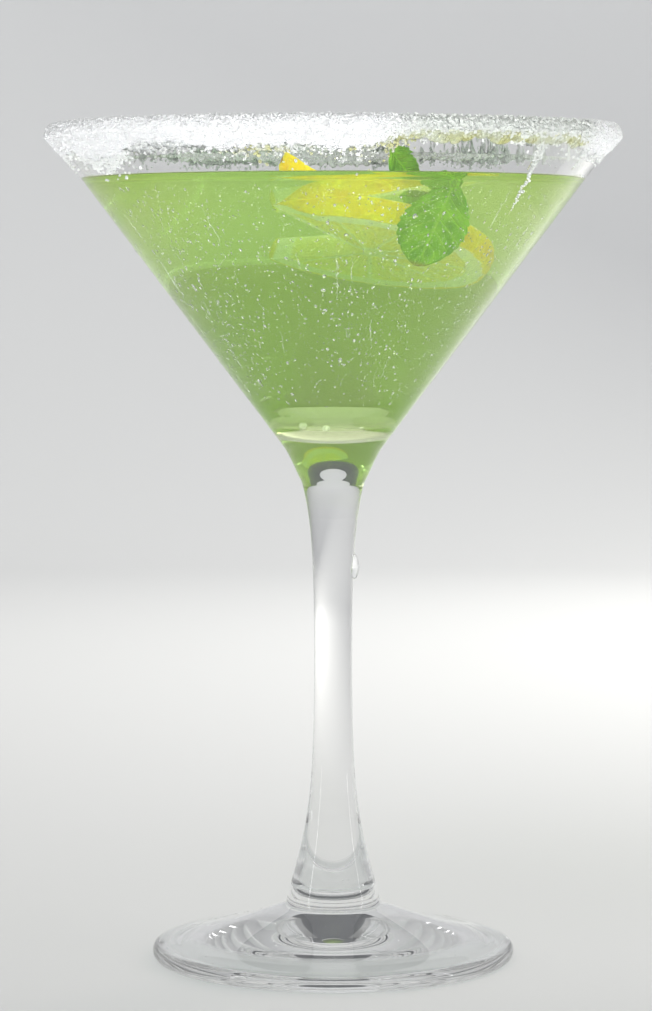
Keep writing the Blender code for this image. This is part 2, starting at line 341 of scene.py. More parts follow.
class Board:
    """A material's node tree with a Principled shader, and short ways to add to it."""

    def __init__(self, name: str) -> None:
        """Starts a material of that name.

        Args:
            name: the material's name.
        """
        self.material = bpy.data.materials.new(name)
        self.material.use_nodes = True
        self.tree = self.material.node_tree
        self.shader = self.tree.nodes["Principled BSDF"]
        self.output = self.tree.nodes["Material Output"]
        self.coordinates = self.node("ShaderNodeTexCoord").outputs["Object"]

    def node(self, kind: str, **settings: object) -> bpy.types.Node:
        """Adds a node and sets its properties.

        Args:
            kind: the node's type.
            settings: its properties by name.

        Returns:
            The new node.
        """
        made = self.tree.nodes.new(kind)
        for key, value in settings.items():
            setattr(made, key, value)
        return made

    def link(self, source: bpy.types.NodeSocket, target: bpy.types.NodeSocket) -> None:
        """Joins two sockets."""
        self.tree.links.new(source, target)

    def set(self, **values: object) -> None:
        """Sets the shader's own sockets, named with underscores for spaces."""
        for key, value in values.items():
            socket = self.shader.inputs[key.replace("_", " ")]
            socket.default_value = (*value, 1.0) if socket.type == "RGBA" else value

    def grain(self, scale: float, detail: float = 3.0, low: float = 0.35, high: float = 0.65) -> Socket:
        """Adds the shared grain on the object's own coordinates.

        Args:
            scale: noise cells in a metre.
            detail: finer layers added.
            low: the noise value that becomes 0.
            high: the noise value that becomes 1.

        Returns:
            The grain's socket.
        """
        made = self.node("ShaderNodeGroup", node_tree=fine_grain())
        self.link(self.coordinates, made.inputs["Place"])
        for key, number in zip(("Scale", "Detail", "Low", "High"), (scale, detail, low, high)):
            made.inputs[key].default_value = number
        return made.outputs["Grain"]

    def cells(self, scale: float) -> Socket:
        """Adds Voronoi cells on the object's own coordinates.

        Args:
            scale: cells in a metre.

        Returns:
            The socket of the distance to each cell's middle.
        """
        made = self.node("ShaderNodeTexVoronoi")
        made.inputs["Scale"].default_value = scale
        self.link(self.coordinates, made.inputs["Vector"])
        return made.outputs["Distance"]

    def mask(self, name: str) -> Socket:
        """Returns the number stored on the points under that name."""
        made = self.node("ShaderNodeAttribute", attribute_name=name)
        return made.outputs["Fac"]

    def remap(
        self, value: Socket, low: float, high: float, to_low: float = 0.0, to_high: float = 1.0
    ) -> Socket:
        """Stretches a value from one range to another, and clamps it.

        Args:
            value: the value.
            low: becomes to_low.
            high: becomes to_high.
            to_low: lowest result.
            to_high: highest result.

        Returns:
            The result.
        """
        made = self.node("ShaderNodeMapRange")
        self.link(value, made.inputs["Value"])
        for key, number in zip(("From Min", "From Max", "To Min", "To Max"), (low, high, to_low, to_high)):
            made.inputs[key].default_value = number
        return made.outputs["Result"]

    def mix(self, factor: Socket, a: Socket | Color, b: Socket | Color) -> Socket:
        """Blends two colours.

        Args:
            factor: 0 for the first colour, 1 for the second.
            a: the first colour.
            b: the second colour.

        Returns:
            The blended colour.
        """
        made = self.node("ShaderNodeMix", data_type="RGBA")
        self.link(factor, made.inputs["Factor"])
        for socket, value in ((made.inputs["A"], a), (made.inputs["B"], b)):
            if isinstance(value, tuple):
                socket.default_value = (*value, 1.0)
            else:
                self.link(value, socket)
        return made.outputs["Result"]

    def math(self, operation: str, a: Socket, b: Socket | float | None = None) -> Socket:
        """Combines values by one of the Math node's operations.

        Args:
            operation: the node's operation.
            a: the first value.
            b: the second value, if it takes one.

        Returns:
            The result.
        """
        made = self.node("ShaderNodeMath", operation=operation)
        for socket, value in zip(made.inputs, (a, b)):
            if value is None:
                continue
            if isinstance(value, (int, float)):
                socket.default_value = value
            else:
                self.link(value, socket)
        return made.outputs["Value"]

    def bump(self, height: Socket, strength: float, distance: float, below: Socket | None = None) -> Socket:
        """Turns a height into a normal.

        Args:
            height: the relief.
            strength: how strongly it shows.
            distance: how high it stands, in metres.
            below: a normal that it lies on top of, if any.

        Returns:
            The normal.
        """
        made = self.node("ShaderNodeBump")
        made.inputs["Strength"].default_value = strength
        made.inputs["Distance"].default_value = distance
        self.link(height, made.inputs["Height"])
        if below is not None:
            self.link(below, made.inputs["Normal"])
        return made.outputs["Normal"]

    def let_lamps_through(self, tint: Color) -> None:
        """Lets shadow rays pass with a tint, so that lamps light what is inside or behind a clear
        piece.

        Args:
            tint: the colour that the shadow takes.
        """
        path = self.node("ShaderNodeLightPath")
        clear = self.node("ShaderNodeBsdfTransparent")
        clear.inputs["Color"].default_value = (*tint, 1.0)
        mix = self.node("ShaderNodeMixShader")
        self.link(path.outputs["Is Shadow Ray"], mix.inputs["Fac"])
        self.link(self.shader.outputs["BSDF"], mix.inputs[1])
        self.link(clear.outputs["BSDF"], mix.inputs[2])
        self.link(mix.outputs["Shader"], self.output.inputs["Surface"])


@dataclass(frozen=True)
class ClearFinish:
    """Glass or water: smooth, clear, with its own refraction."""

    name: str
    ior: float
    tint: Color = (1.0, 1.0, 1.0)
    lamp_tint: Color = (0.93, 0.95, 0.95)
    roughness: float = 0.0
    clear_share: float = 1.0

    def make(self) -> bpy.types.Material:
        """Builds the material.

        Returns:
            The material.
        """
        board = Board(self.name)
        board.set(Base_Color=self.tint, Roughness=self.roughness)
        board.set(IOR=self.ior, Transmission_Weight=self.clear_share)
        board.let_lamps_through(self.lamp_tint)
        return board.material


@dataclass(frozen=True)
class CloudyDrinkFinish:
    """A cloudy drink: a clear skin over a body that scatters green light and swallows the rest."""

    name: str = "cloudy_drink"
    body: Color = (0.82, 0.92, 0.50)
    # painted glow: the colour of the drink's left and right edges, standing in for the warm light that shines
    # through them
    side: Color = (1.0, 0.95, 0.42)
    clear_share: float = 0.98
    haze: Color = (0.90, 0.97, 0.40)
    haze_density: float = 12.0
    dye: Color = (0.50, 0.78, 0.22)
    dye_density: float = 25.0

    def make(self) -> bpy.types.Material:
        """Builds the material.

        Returns:
            The material.
        """
        board = Board(self.name)
        across = board.node("ShaderNodeSeparateXYZ")
        board.link(board.coordinates, across.inputs["Vector"])
        # Painted glow: the base colour turns yellower and brighter towards the drink's left and right edges,
        # standing in for light shining through.
        painted_side_glow = board.remap(board.math("ABSOLUTE", across.outputs["X"]), low=0.022, high=0.05)
        board.link(board.mix(painted_side_glow, self.body, self.side), board.shader.inputs["Base Color"])
        board.set(Roughness=0.02, IOR=1.34, Transmission_Weight=self.clear_share)
        scatter = board.node("ShaderNodeVolumeScatter")
        scatter.inputs["Color"].default_value = (*self.haze, 1.0)
        scatter.inputs["Density"].default_value = self.haze_density
        absorb = board.node("ShaderNodeVolumeAbsorption")
        absorb.inputs["Color"].default_value = (*self.dye, 1.0)
        absorb.inputs["Density"].default_value = self.dye_density
        both = board.node("ShaderNodeAddShader")
        board.link(scatter.outputs["Volume"], both.inputs[0])
        board.link(absorb.outputs["Volume"], both.inputs[1])
        board.link(both.outputs["Shader"], board.output.inputs["Volume"])
        board.let_lamps_through((0.97, 0.99, 0.93))
        return board.material


@dataclass(frozen=True)
class SugarFinish:
    """Granulated sugar: white, faintly see-through grains."""

    name: str
    bright: Color = (0.80, 0.81, 0.815)
    # partly the melted sugar's own duller tone, partly painted shade on the front right, the side away from
    # the key lamp
    melted_grey_and_shade: Color = (0.60, 0.63, 0.59)
    wet: Color = (0.52, 0.53, 0.28)
    clear_share: float = 0.0
    roughness: float = 0.5
    grain: float = 1.0

    def make(self) -> bpy.types.Material:
        """Builds the material.

        Returns:
            The material.
        """
        board = Board(self.name)
        speckle = board.grain(scale=1500, detail=2.0, low=0.3, high=0.7)
        shade = board.mix(speckle, tuple(0.93 * c for c in self.bright), self.bright)
        melt = board.mask("melt")
        # Greyer where the melt mask is high, round the front right: partly the wet sugar's own duller tone,
        # partly painted shade away from the key lamp.
        shade = board.mix(board.remap(melt, low=0.0, high=0.7), shade, self.melted_grey_and_shade)
        patch = board.grain(scale=330, detail=1.0, low=0.42, high=0.6)
        soaked = board.remap(melt, low=0.75, high=0.9)
        shade = board.mix(board.math("MULTIPLY", soaked, patch), shade, self.wet)
        board.link(shade, board.shader.inputs["Base Color"])
        board.set(
            Roughness=self.roughness, IOR=1.5, Transmission_Weight=self.clear_share,
            Subsurface_Weight=0.25, Subsurface_Radius=(1.0, 1.0, 1.0), Subsurface_Scale=0.0006,
        )
        if self.grain:
            crystals = board.cells(scale=2200)
            faceted = board.bump(crystals, strength=0.8 * self.grain, distance=0.4 * MM)
            rough = board.bump(speckle, strength=0.5, distance=0.3 * MM, below=faceted)
            board.link(rough, board.shader.inputs["Normal"])
        return board.material


@dataclass(frozen=True)
class SyrupFinish:
    """Sugar melted to a film: greyish, half clear, wrinkled."""

    name: str = "melted_sugar"
    color: Color = (0.80, 0.83, 0.66)
    yellowed: Color = (0.66, 0.66, 0.30)
    clear_share: float = 0.75

    def make(self) -> bpy.types.Material:
        """Builds the material.

        Returns:
            The material.
        """
        board = Board(self.name)
        cloud = board.grain(scale=420)
        stain = board.grain(scale=230, detail=2.0, low=0.4, high=0.6)
        color = board.mix(stain, self.color, self.yellowed)
        board.link(color, board.shader.inputs["Base Color"])
        rough = board.remap(cloud, low=0.0, high=1.0, to_low=0.08, to_high=0.3)
        board.link(rough, board.shader.inputs["Roughness"])
        board.set(IOR=1.45, Transmission_Weight=self.clear_share)
        wrinkled = board.bump(cloud, strength=0.35, distance=0.4 * MM)
        board.link(wrinkled, board.shader.inputs["Normal"])
        board.let_lamps_through((0.9, 0.92, 0.88))
        return board.material


@dataclass(frozen=True)
class LemonFinish:
    """Yellow rind with oil pores, white pith, and wet pale flesh with juice sacs."""

    name: str = "lemon"
    rind: Color = (1.0, 0.55, 0.01)
    rind_pale: Color = (1.0, 0.70, 0.02)
    pore: Color = (0.92, 0.45, 0.01)
    pith: Color = (1.0, 0.92, 0.82)
    flesh: Color = (1.0, 0.84, 0.44)
    flesh_deep: Color = (1.0, 0.74, 0.26)
    membrane: Color = (1.0, 0.90, 0.70)

    def make(self) -> bpy.types.Material:
        """Builds the material.

        Returns:
            The material.
        """
        board = Board(self.name)
        rind = board.mix(board.grain(scale=160), self.rind, self.rind_pale)
        pores = board.cells(scale=1050)
        in_pore = board.remap(pores, low=0.0, high=0.35, to_low=0.35, to_high=0.0)
        rind = board.mix(in_pore, rind, self.pore)
        sacs = board.grain(scale=520, low=0.3, high=0.7)
        flesh = board.mix(sacs, self.flesh_deep, self.flesh)
        flesh = board.mix(board.mask("membrane"), flesh, self.membrane)
        fibre = board.grain(scale=900, detail=4.0, low=0.3, high=0.7)
        pith = board.mix(fibre, tuple(0.94 * c for c in self.pith), self.pith)
        inside = board.mix(board.mask("pith"), flesh, pith)
        color = board.mix(board.mask("rind"), inside, rind)
        board.link(color, board.shader.inputs["Base Color"])
        rough = board.remap(board.mask("rind"), low=0, high=1, to_low=0.28, to_high=0.38)
        board.link(rough, board.shader.inputs["Roughness"])
        board.set(
            IOR=1.4, Subsurface_Weight=0.9, Subsurface_Radius=(1.0, 0.9, 0.5), Subsurface_Scale=0.009,
            Coat_Weight=0.15, Coat_Roughness=0.15,
        )
        pitted = board.bump(pores, strength=0.35, distance=0.4 * MM)
        swollen = board.bump(sacs, strength=0.25, distance=0.4 * MM, below=pitted)
        board.link(swollen, board.shader.inputs["Normal"])
        return board.material


@dataclass(frozen=True)
class MintFinish:
    """A fresh leaf: vivid green, paler veins, a faint sheen."""

    name: str = "mint"
    blade: Color = (0.085, 0.25, 0.004)
    young: Color = (0.19, 0.40, 0.008)
    vein: Color = (0.24, 0.45, 0.03)
    stalk: Color = (0.30, 0.22, 0.05)

    def make(self) -> bpy.types.Material:
        """Builds the material.

        Returns:
            The material.
        """
        board = Board(self.name)
        blade = board.mix(board.grain(scale=260), self.blade, self.young)
        color = board.mix(board.mask("vein"), blade, self.vein)
        color = board.mix(board.mask("stalk"), color, self.stalk)
        board.link(color, board.shader.inputs["Base Color"])
        fine = board.grain(scale=1400, detail=2.0, low=0.3, high=0.7)
        rough = board.remap(fine, low=0.0, high=1.0, to_low=0.32, to_high=0.5)
        board.link(rough, board.shader.inputs["Roughness"])
        board.set(
            IOR=1.42, Subsurface_Weight=0.25, Subsurface_Radius=(0.4, 1.0, 0.15), Subsurface_Scale=0.001,
            Transmission_Weight=0.0, Coat_Weight=0.2, Coat_Roughness=0.2,
        )
        board.link(board.bump(fine, strength=0.2, distance=0.3 * MM), board.shader.inputs["Normal"])
        return board.material


@dataclass(frozen=True)
class StageFinish:
    """The plain matte paper of the floor and backdrop."""

    name: str = "stage_paper"
    color: Color = (0.56, 0.565, 0.57)

    def make(self) -> bpy.types.Material:
        """Builds the material.

        Returns:
            The material.
        """
        board = Board(self.name)
        board.set(Base_Color=self.color, Roughness=0.85, Specular_IOR_Level=0.2)
        return board.material


# --- The glass ----------------------------------------------------------------------------------------


@dataclass
class GlassBody:
    """A turned cocktail glass: cone bowl, solid shoulder, drawn stem and a shallow foot."""

    height: float
    rim_radius: float
    foot_radius: float = 37.9 * MM
    slope: float = 0.754
    wall: float = 1.3 * MM
    rim_rise: float = 0.55 * MM
    cone_bottom: float = 108.0 * MM
    floor: float = 111.3 * MM
    dish: float = 27.0 * MM
    stem_top: float = 100.0 * MM
    waist: float = 3.9 * MM
    shoulder_growth: float = 2.73 * MM
    shoulder_length: float = 9.0 * MM
    shoulder_slope: float = 0.55
    stem_base: float = 11.2 * MM
    skirt_growth: float = 6.0 * MM
    skirt_length: float = 15.5 * MM
    skirt_power: float = 1.35
    foot_edge: float = 3.2 * MM
    foot_power: float = 1.35
    rest_inner: float = 33.2 * MM
    rest_outer: float = 36.7 * MM
    hollow: float = 4.2 * MM
    hollow_power: float = 0.75
    edge_start: float = 62.0
    edge_width: float = 1.6 * MM
    join_rise: float = 0.25 * MM
    join_reach: float = 0.3 * MM
    curve_points: int = 24
    rim_points: int = 13
    side_points: int = 14
    stem_points: int = 56
    foot_points: int = 26
    edge_points: int = 12
    steps: int = 224

    @classmethod
    def from_frame(cls) -> GlassBody:
        """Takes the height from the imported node, and the rim's radius as a fixed share of it.

        Returns:
            The glass.
        """
        drawn_height, drawn_rim = 171.6 * MM, 58.85 * MM
        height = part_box("glass")[1].z
        return cls(height=height, rim_radius=drawn_rim * height / drawn_height)

    def outer(self, height: np.ndarray | float) -> np.ndarray | float:
        """Radius of the bowl's outer cone at a height."""
        return self.rim_radius - (self.height - height) * self.slope

    def inner(self, height: np.ndarray | float) -> np.ndarray | float:
        """Radius of the bowl's inner cone at a height."""
        return self.outer(height) - self.wall

    def floor_curve(self, spread: float, points: int) -> np.ndarray:
        """The bowl's round floor from the axis to the cone, pushed out into the glass by a spread.

        It is part of a sphere of the dish's radius, centred on the axis. It meets the cone where
        (middle - z)^2 + r^2 = dish^2 and r = (z - tip) * slope.

        Args:
            spread: how far the curve is pushed out.
            points: how many points it has.

        Returns:
            Radius and height, one point a line.
        """
        tip = self.height - (self.rim_radius - self.wall + spread) / self.slope
        middle = self.floor - spread + self.dish
        a = 1 + self.slope**2
        b = middle + self.slope**2 * tip
        c = middle**2 + self.slope**2 * tip**2 - self.dish**2
        meeting = (b - math.sqrt(b * b - a * c)) / a
        reach = math.asin((meeting - tip) * self.slope / self.dish)
        turn = np.linspace(0, reach, points)
        return np.stack([self.dish * np.sin(turn), middle - self.dish * np.cos(turn)], -1)

    def stem(self, height: np.ndarray) -> np.ndarray:
        """Radius of the stem: a waist, an exponential shoulder above and a bell-shaped skirt below.

        Args:
            height: heights along the stem.

        Returns:
            A radius for each height.
        """
        above = self.shoulder_growth * np.exp(-(self.stem_top - height) / self.shoulder_length)
        drop = np.clip((height - self.stem_base) / self.skirt_length, 0, None)
        return self.waist + above + self.skirt_growth * np.exp(-(drop**self.skirt_power))

    def shoulder(self, height: np.ndarray) -> np.ndarray:
        """Radius between stem and cone: a cubic with the stem's width and the cone's slope at its ends.

        Args:
            height: heights between stem and cone.

        Returns:
            A radius for each height.
        """
        span = self.cone_bottom - self.stem_top
        t = (height - self.stem_top) / span
        return (
            (1 + 2 * t) * (1 - t) ** 2 * float(self.stem(np.array(self.stem_top)))
            + t * (1 - t) ** 2 * span * self.shoulder_slope
            + t * t * (3 - 2 * t) * self.outer(self.cone_bottom)
            + t * t * (t - 1) * span * self.slope
        )

    def foot_top(self, radius: np.ndarray) -> np.ndarray:
        """Height of the foot's upper face, a shallow cone that steepens towards the stem.

        Args:
            radius: distances from the axis.

        Returns:
            A height for each radius.
        """
        inner = float(self.stem(np.array(self.stem_base)))
        share = (self.foot_radius - radius) / (self.foot_radius - inner)
        return self.foot_edge + (self.stem_base - self.foot_edge) * np.clip(share, 0, 1) ** self.foot_power

    def profile(self) -> np.ndarray:
        """The glass cut down its middle: inside from the floor up, over the rim, down the outside,
        underneath.

        Returns:
            Radius and height, one point a line.
        """
        inside = self.floor_curve(0.0, self.curve_points)
        rim_z = self.height - self.rim_rise
        wall_z = np.linspace(inside[-1, 1], rim_z, self.side_points)[1:-1]
        wall = np.stack([self.inner(wall_z), wall_z], -1)
        middle = float(self.outer(rim_z)) - self.wall / 2
        turn = np.linspace(np.pi, 0, self.rim_points)
        rim = np.stack([middle + self.wall / 2 * np.cos(turn), rim_z + self.rim_rise * np.sin(turn)], -1)
        cone_z = np.linspace(rim_z, self.cone_bottom, self.side_points)[1:]
        cone = np.stack([self.outer(cone_z), cone_z], -1)
        shoulder_z = np.linspace(self.cone_bottom, self.stem_top, self.side_points)[1:]
        shoulder = np.stack([self.shoulder(shoulder_z), shoulder_z], -1)
        stem_z = np.linspace(self.stem_top, self.stem_base + self.join_rise, self.stem_points)[1:]
        stem = np.stack([self.stem(stem_z), stem_z], -1)
        start = float(self.stem(np.array(self.stem_base))) + self.join_reach
        foot_r = np.linspace(start, self.foot_radius - self.edge_width, self.foot_points)
        foot = np.stack([foot_r, self.foot_top(foot_r)], -1)
        half = self.foot_edge / 2
        turn = np.radians(np.linspace(self.edge_start, -90, self.edge_points))
        edge_r = self.rest_outer + (self.foot_radius - self.rest_outer) * np.cos(turn)
        edge = np.stack([edge_r, half + half * np.sin(turn)], -1)
        share = np.linspace(1, 0, self.foot_points)
        under = np.stack([self.rest_inner * share, self.hollow * (1 - share**2) ** self.hollow_power], -1)
        return np.vstack([inside, wall, rim, cone, shoulder, stem, foot, edge, under])

    def build(self) -> bpy.types.Object:
        """Makes the glass and dresses it.

        Returns:
            The finished piece.
        """
        points, faces = revolved(self.profile(), self.steps)
        piece = make_piece("glass_body", points, faces)
        return place(piece, ClearFinish("clear_glass", 1.5).make(), "clear_glass", "glass")


# --- The drink ----------------------------------------------------------------------------------------


@dataclass
class Drink:
    """The drink: it fills the bowl to its level and creeps a little way up the wall."""

    bowl: GlassBody
    level: float
    overlap: float = 0.15 * MM
    creep: float = 0.9 * MM
    creep_reach: float = 1.5 * MM
    crowding: float = 2.2
    top_points: int = 40
    side_points: int = 24
    steps: int = 192

    def surface_height(self, radius: np.ndarray, wall_radius: float) -> np.ndarray:
        """Level in the middle, rising to the wall by creep * exp(-(wall - r) / reach)."""
        return self.level + self.creep * np.exp(-(wall_radius - radius) / self.creep_reach)

    def profile(self) -> np.ndarray:
        """The drink cut down its middle, from the middle of its top out to the wall and down to the
        floor. The points of its top crowd together near the wall, where it curves.

        Returns:
            Radius and height, one point a line.
        """
        top = self.level + self.creep
        wall_radius = float(self.bowl.inner(top)) + self.overlap
        radius = wall_radius * (1 - np.linspace(1, 0, self.top_points) ** self.crowding)
        surface = np.stack([radius, self.surface_height(radius, wall_radius)], -1)
        floor = self.bowl.floor_curve(self.overlap, self.side_points)[::-1]
        wall_z = np.linspace(top, floor[0, 1], self.side_points)[1:-1]
        wall = np.stack([self.bowl.inner(wall_z) + self.overlap, wall_z], -1)
        return np.vstack([surface, wall, floor])

    def build(self) -> bpy.types.Object:
        """Makes the drink and dresses it.

        Returns:
            The finished piece.
        """
        points, faces = revolved(self.profile(), self.steps)
        piece = make_piece("drink_body", points, faces)
        return place(piece, CloudyDrinkFinish().make(), "cloudy_drink", "drink")


# --- The lemon ----------------------------------------------------------------------------------------


@dataclass
class LemonWheel:
    """A thick lemon wheel with a slit, bent up beside its last cut. Its under face shows to the front."""

    radius: float = 21.5 * MM
    thickness: float = 5.2 * MM
    hole: float = 1.3 * MM
    crown: float = 0.6 * MM
    center: Color = (6.0, -8.0, 153.5)
    first_angle: float = math.radians(-140)
    last_angle: float = math.radians(150)
    back_drop: float = math.radians(10)
    right_drop: float = math.radians(12)
    flap_rise: float = 4.0 * MM
    flap_start: float = math.radians(115)
    flap_power: float = 1.3
    rind_depth: float = 1.3 * MM
    pith_depth: float = 3.3 * MM
    segments: float = 9.0
    segment_turn: float = 0.3
    core: float = 2.3 * MM
    membrane_thick: float = 0.12 * MM
    membrane_fade: float = 0.5 * MM
    flesh_sunk: float = 0.35 * MM
    membrane_rise: float = 0.3 * MM
    sac_height: float = 0.16 * MM
    sac_width: float = 1.1 * MM
    rind_lump: float = 0.16 * MM
    cut_rough: float = 0.14 * MM
    weld_within: float = 0.004 * MM
    around: int = 300
    outward: int = 72
    through: int = 26

    def axes(self) -> np.ndarray:
        """The wheel's own directions: to its right end, to its front, and up through its thickness.

        Returns:
            A matrix with the three directions as columns.
        """
        front = np.array([0.0, -math.cos(self.back_drop), math.sin(self.back_drop)])
        level_up = np.array([0.0, math.sin(self.back_drop), math.cos(self.back_drop)])
        level_right = np.array([1.0, 0.0, 0.0])
        right = level_right * math.cos(self.right_drop) - level_up * math.sin(self.right_drop)
        up = level_up * math.cos(self.right_drop) + level_right * math.sin(self.right_drop)
        return np.stack([right, front, up], -1)

    def point(self, angle: np.ndarray, radius: np.ndarray, depth: np.ndarray) -> np.ndarray:
        """A point of the bent wheel: polar in its plane, lifted near the last cut by rise *
        smooth(angle) * (radius / outer radius)^power.

        Args:
            angle: round the wheel.
            radius: from its middle.
            depth: up through its thickness.

        Returns:
            One point for each angle.
        """
        share = smooth_step(angle, self.flap_start, self.last_angle)
        lift = self.flap_rise * share * (radius / self.radius) ** self.flap_power
        flat = np.stack([radius * np.cos(angle), radius * np.sin(angle), depth + lift], -1)
        return flat @ self.axes().T + np.array(self.center) * MM

    def membrane(self, radius: np.ndarray, angle: np.ndarray) -> np.ndarray:
        """1 on the thin walls between the segments and round the core, 0 within a segment.

        Args:
            radius: from the middle.
            angle: round the wheel.

        Returns:
            One share for each point.
        """
        turn = (angle * self.segments / (2 * np.pi) + self.segment_turn) % 1.0
        distance = (0.5 - np.abs(turn - 0.5)) * 2 * np.pi / self.segments * np.maximum(radius, 1e-6)
        wall = 1 - smooth_step(distance, self.membrane_thick, self.membrane_fade)
        return np.maximum(wall, 1 - smooth_step(radius, self.core, self.core + 0.8 * MM))

    def masks(self, radius: np.ndarray, angle: np.ndarray, cut: bool) -> dict[str, np.ndarray]:
        """Shares of rind, pith and membrane at each point, from its uneven distance to the outside.

        Args:
            radius: from the middle.
            angle: round the wheel.
            cut: whether the points lie on a cut end.

        Returns:
            The shares by their names.
        """
        flat = np.stack([radius * np.cos(angle), radius * np.sin(angle)], -1)
        depth = self.radius - radius + 0.3 * MM * waves(flat, Seed.RIND_EDGE, 5 * MM)
        end = self.pith_depth + self.rind_depth
        rind = 1 - smooth_step(depth, self.rind_depth * 0.7, self.rind_depth * 1.1)
        pith = 1 - smooth_step(depth, end - 0.5 * MM, end)
        membrane = np.full_like(radius, 0.15) if cut else self.membrane(radius, angle)
        return {"rind": rind, "pith": pith, "membrane": membrane}

    def flesh_relief(self, radius: np.ndarray, angle: np.ndarray, seed: int) -> np.ndarray:
        """Height of a cut face: flesh sunk between its walls, with long juice sacs that point to the
        core.

        Args:
            radius: from the middle.
            angle: round the wheel.
            seed: picks the sacs.

        Returns:
            One height for each point.
        """
        end = self.radius - self.pith_depth - self.rind_depth
        inside = smooth_step(radius, self.hole, self.hole + 2 * MM)
        inside = inside * (1 - smooth_step(radius, end - 0.5 * MM, end))
        edge = smooth_step(angle, self.first_angle, self.first_angle + 0.05)
        edge = edge * smooth_step(-angle, -self.last_angle, 0.05 - self.last_angle)
        # the noise is squeezed along the radius, so that each sac is long that way
        sacs = waves(np.stack([angle * 12 * MM, radius * 0.3], -1), seed, self.sac_width)
        walls = self.membrane_rise * self.membrane(radius, angle)
        return inside * edge * (-self.flesh_sunk + walls + self.sac_height * sacs)

    def patches(self) -> list[tuple[np.ndarray, np.ndarray, np.ndarray, bool]]:
        """The skin in six grids: both faces, the rind, the core's hole and the two cuts.

        Returns:
            Each grid's points, radii, angles, and whether it is a cut end.
        """
        angle = np.linspace(self.first_angle, self.last_angle, self.around)
        share, level = np.linspace(0, 1, self.outward), np.linspace(-1, 1, self.through)
        made = []
        for side, seed in ((0.0, Seed.FLESH_UNDER), (1.0, Seed.FLESH_TOP)):
            a, s = np.meshgrid(angle, share, indexing="ij")
            r = self.hole + s * (self.radius - self.crown - self.hole)
            relief = self.flesh_relief(r, a, seed) * (1 if side else -1)
            made.append((self.point(a, r, side * self.thickness + relief), r, a, False))
        a, v = np.meshgrid(angle, level, indexing="ij")
        r = self.radius - self.crown * v * v
        fade = smooth_step(1 - np.abs(v), 0, 0.25)
        on_rind = np.stack([a * self.radius, v * self.thickness / 2], -1)
        lumps = self.rind_lump * waves(on_rind, Seed.RIND_LUMPS, 2.2 * MM) * fade
        depth = self.thickness * (1 + v) / 2
        made.append((self.point(a, r + lumps, depth), np.full_like(r, self.radius), a, False))
        hole = np.full_like(a, self.hole)
        made.append((self.point(a, hole, depth), hole, a, False))
        for end in (0, -1):
            s, v = np.meshgrid(share, level, indexing="ij")
            r = self.hole + s * (self.radius - self.crown * v * v - self.hole)
            rough = waves(np.stack([r, v * self.thickness / 2], -1), Seed.CUT_ROUGHNESS - end, 1.6 * MM)
            rough = rough * smooth_step(1 - np.abs(v), 0, 0.25) * np.sin(np.pi * s)
            inward = -1 if end else 1
            a = angle[end] + inward * self.cut_rough * np.abs(rough) / r
            cut = self.point(a, r, self.thickness * (1 + v) / 2)
            made.append((cut, r, np.full_like(r, angle[end]), True))
        return made

    def build(self) -> bpy.types.Object:
        """Welds the grids into one closed skin and dresses it.

        Returns:
            The finished piece.
        """
        points, faces, start = [], [], 0
        masks: dict[str, list[np.ndarray]] = {"rind": [], "pith": [], "membrane": []}
        for grid, radius, angle, cut in self.patches():
            faces.append(grid_quads(*grid.shape[:2]) + start)
            points.append(grid.reshape(-1, 3))
            start += len(points[-1])
            for key, values in self.masks(radius, angle, cut).items():
                masks[key].append(values.ravel())
        piece = make_piece("lemon_wheel", np.vstack(points), faces)
        for key, values in masks.items():
            add_mask(piece, key, np.concatenate(values))
        weld(piece, self.weld_within)
        return place(piece, LemonFinish().make(), "lemon", "lemon_slice")


def weld(piece: bpy.types.Object, within: float) -> None:
    """Merges points that lie this close, recalculates the normals, and shades sharp edges crisp.

    Args:
        piece: the mesh to mend.
        within: the merging distance.
    """
    sharp_from = math.radians(50)
    shape = bmesh.new()
    shape.from_mesh(piece.data)
    bmesh.ops.remove_doubles(shape, verts=shape.verts, dist=within)
    bmesh.ops.recalc_face_normals(shape, faces=shape.faces)
    shape.to_mesh(piece.data)
    shape.free()
    piece.data.shade_smooth()
    piece.data.set_sharp_from_angle(angle=sharp_from)


# --- The mint -----------------------------------------------------------------------------------------


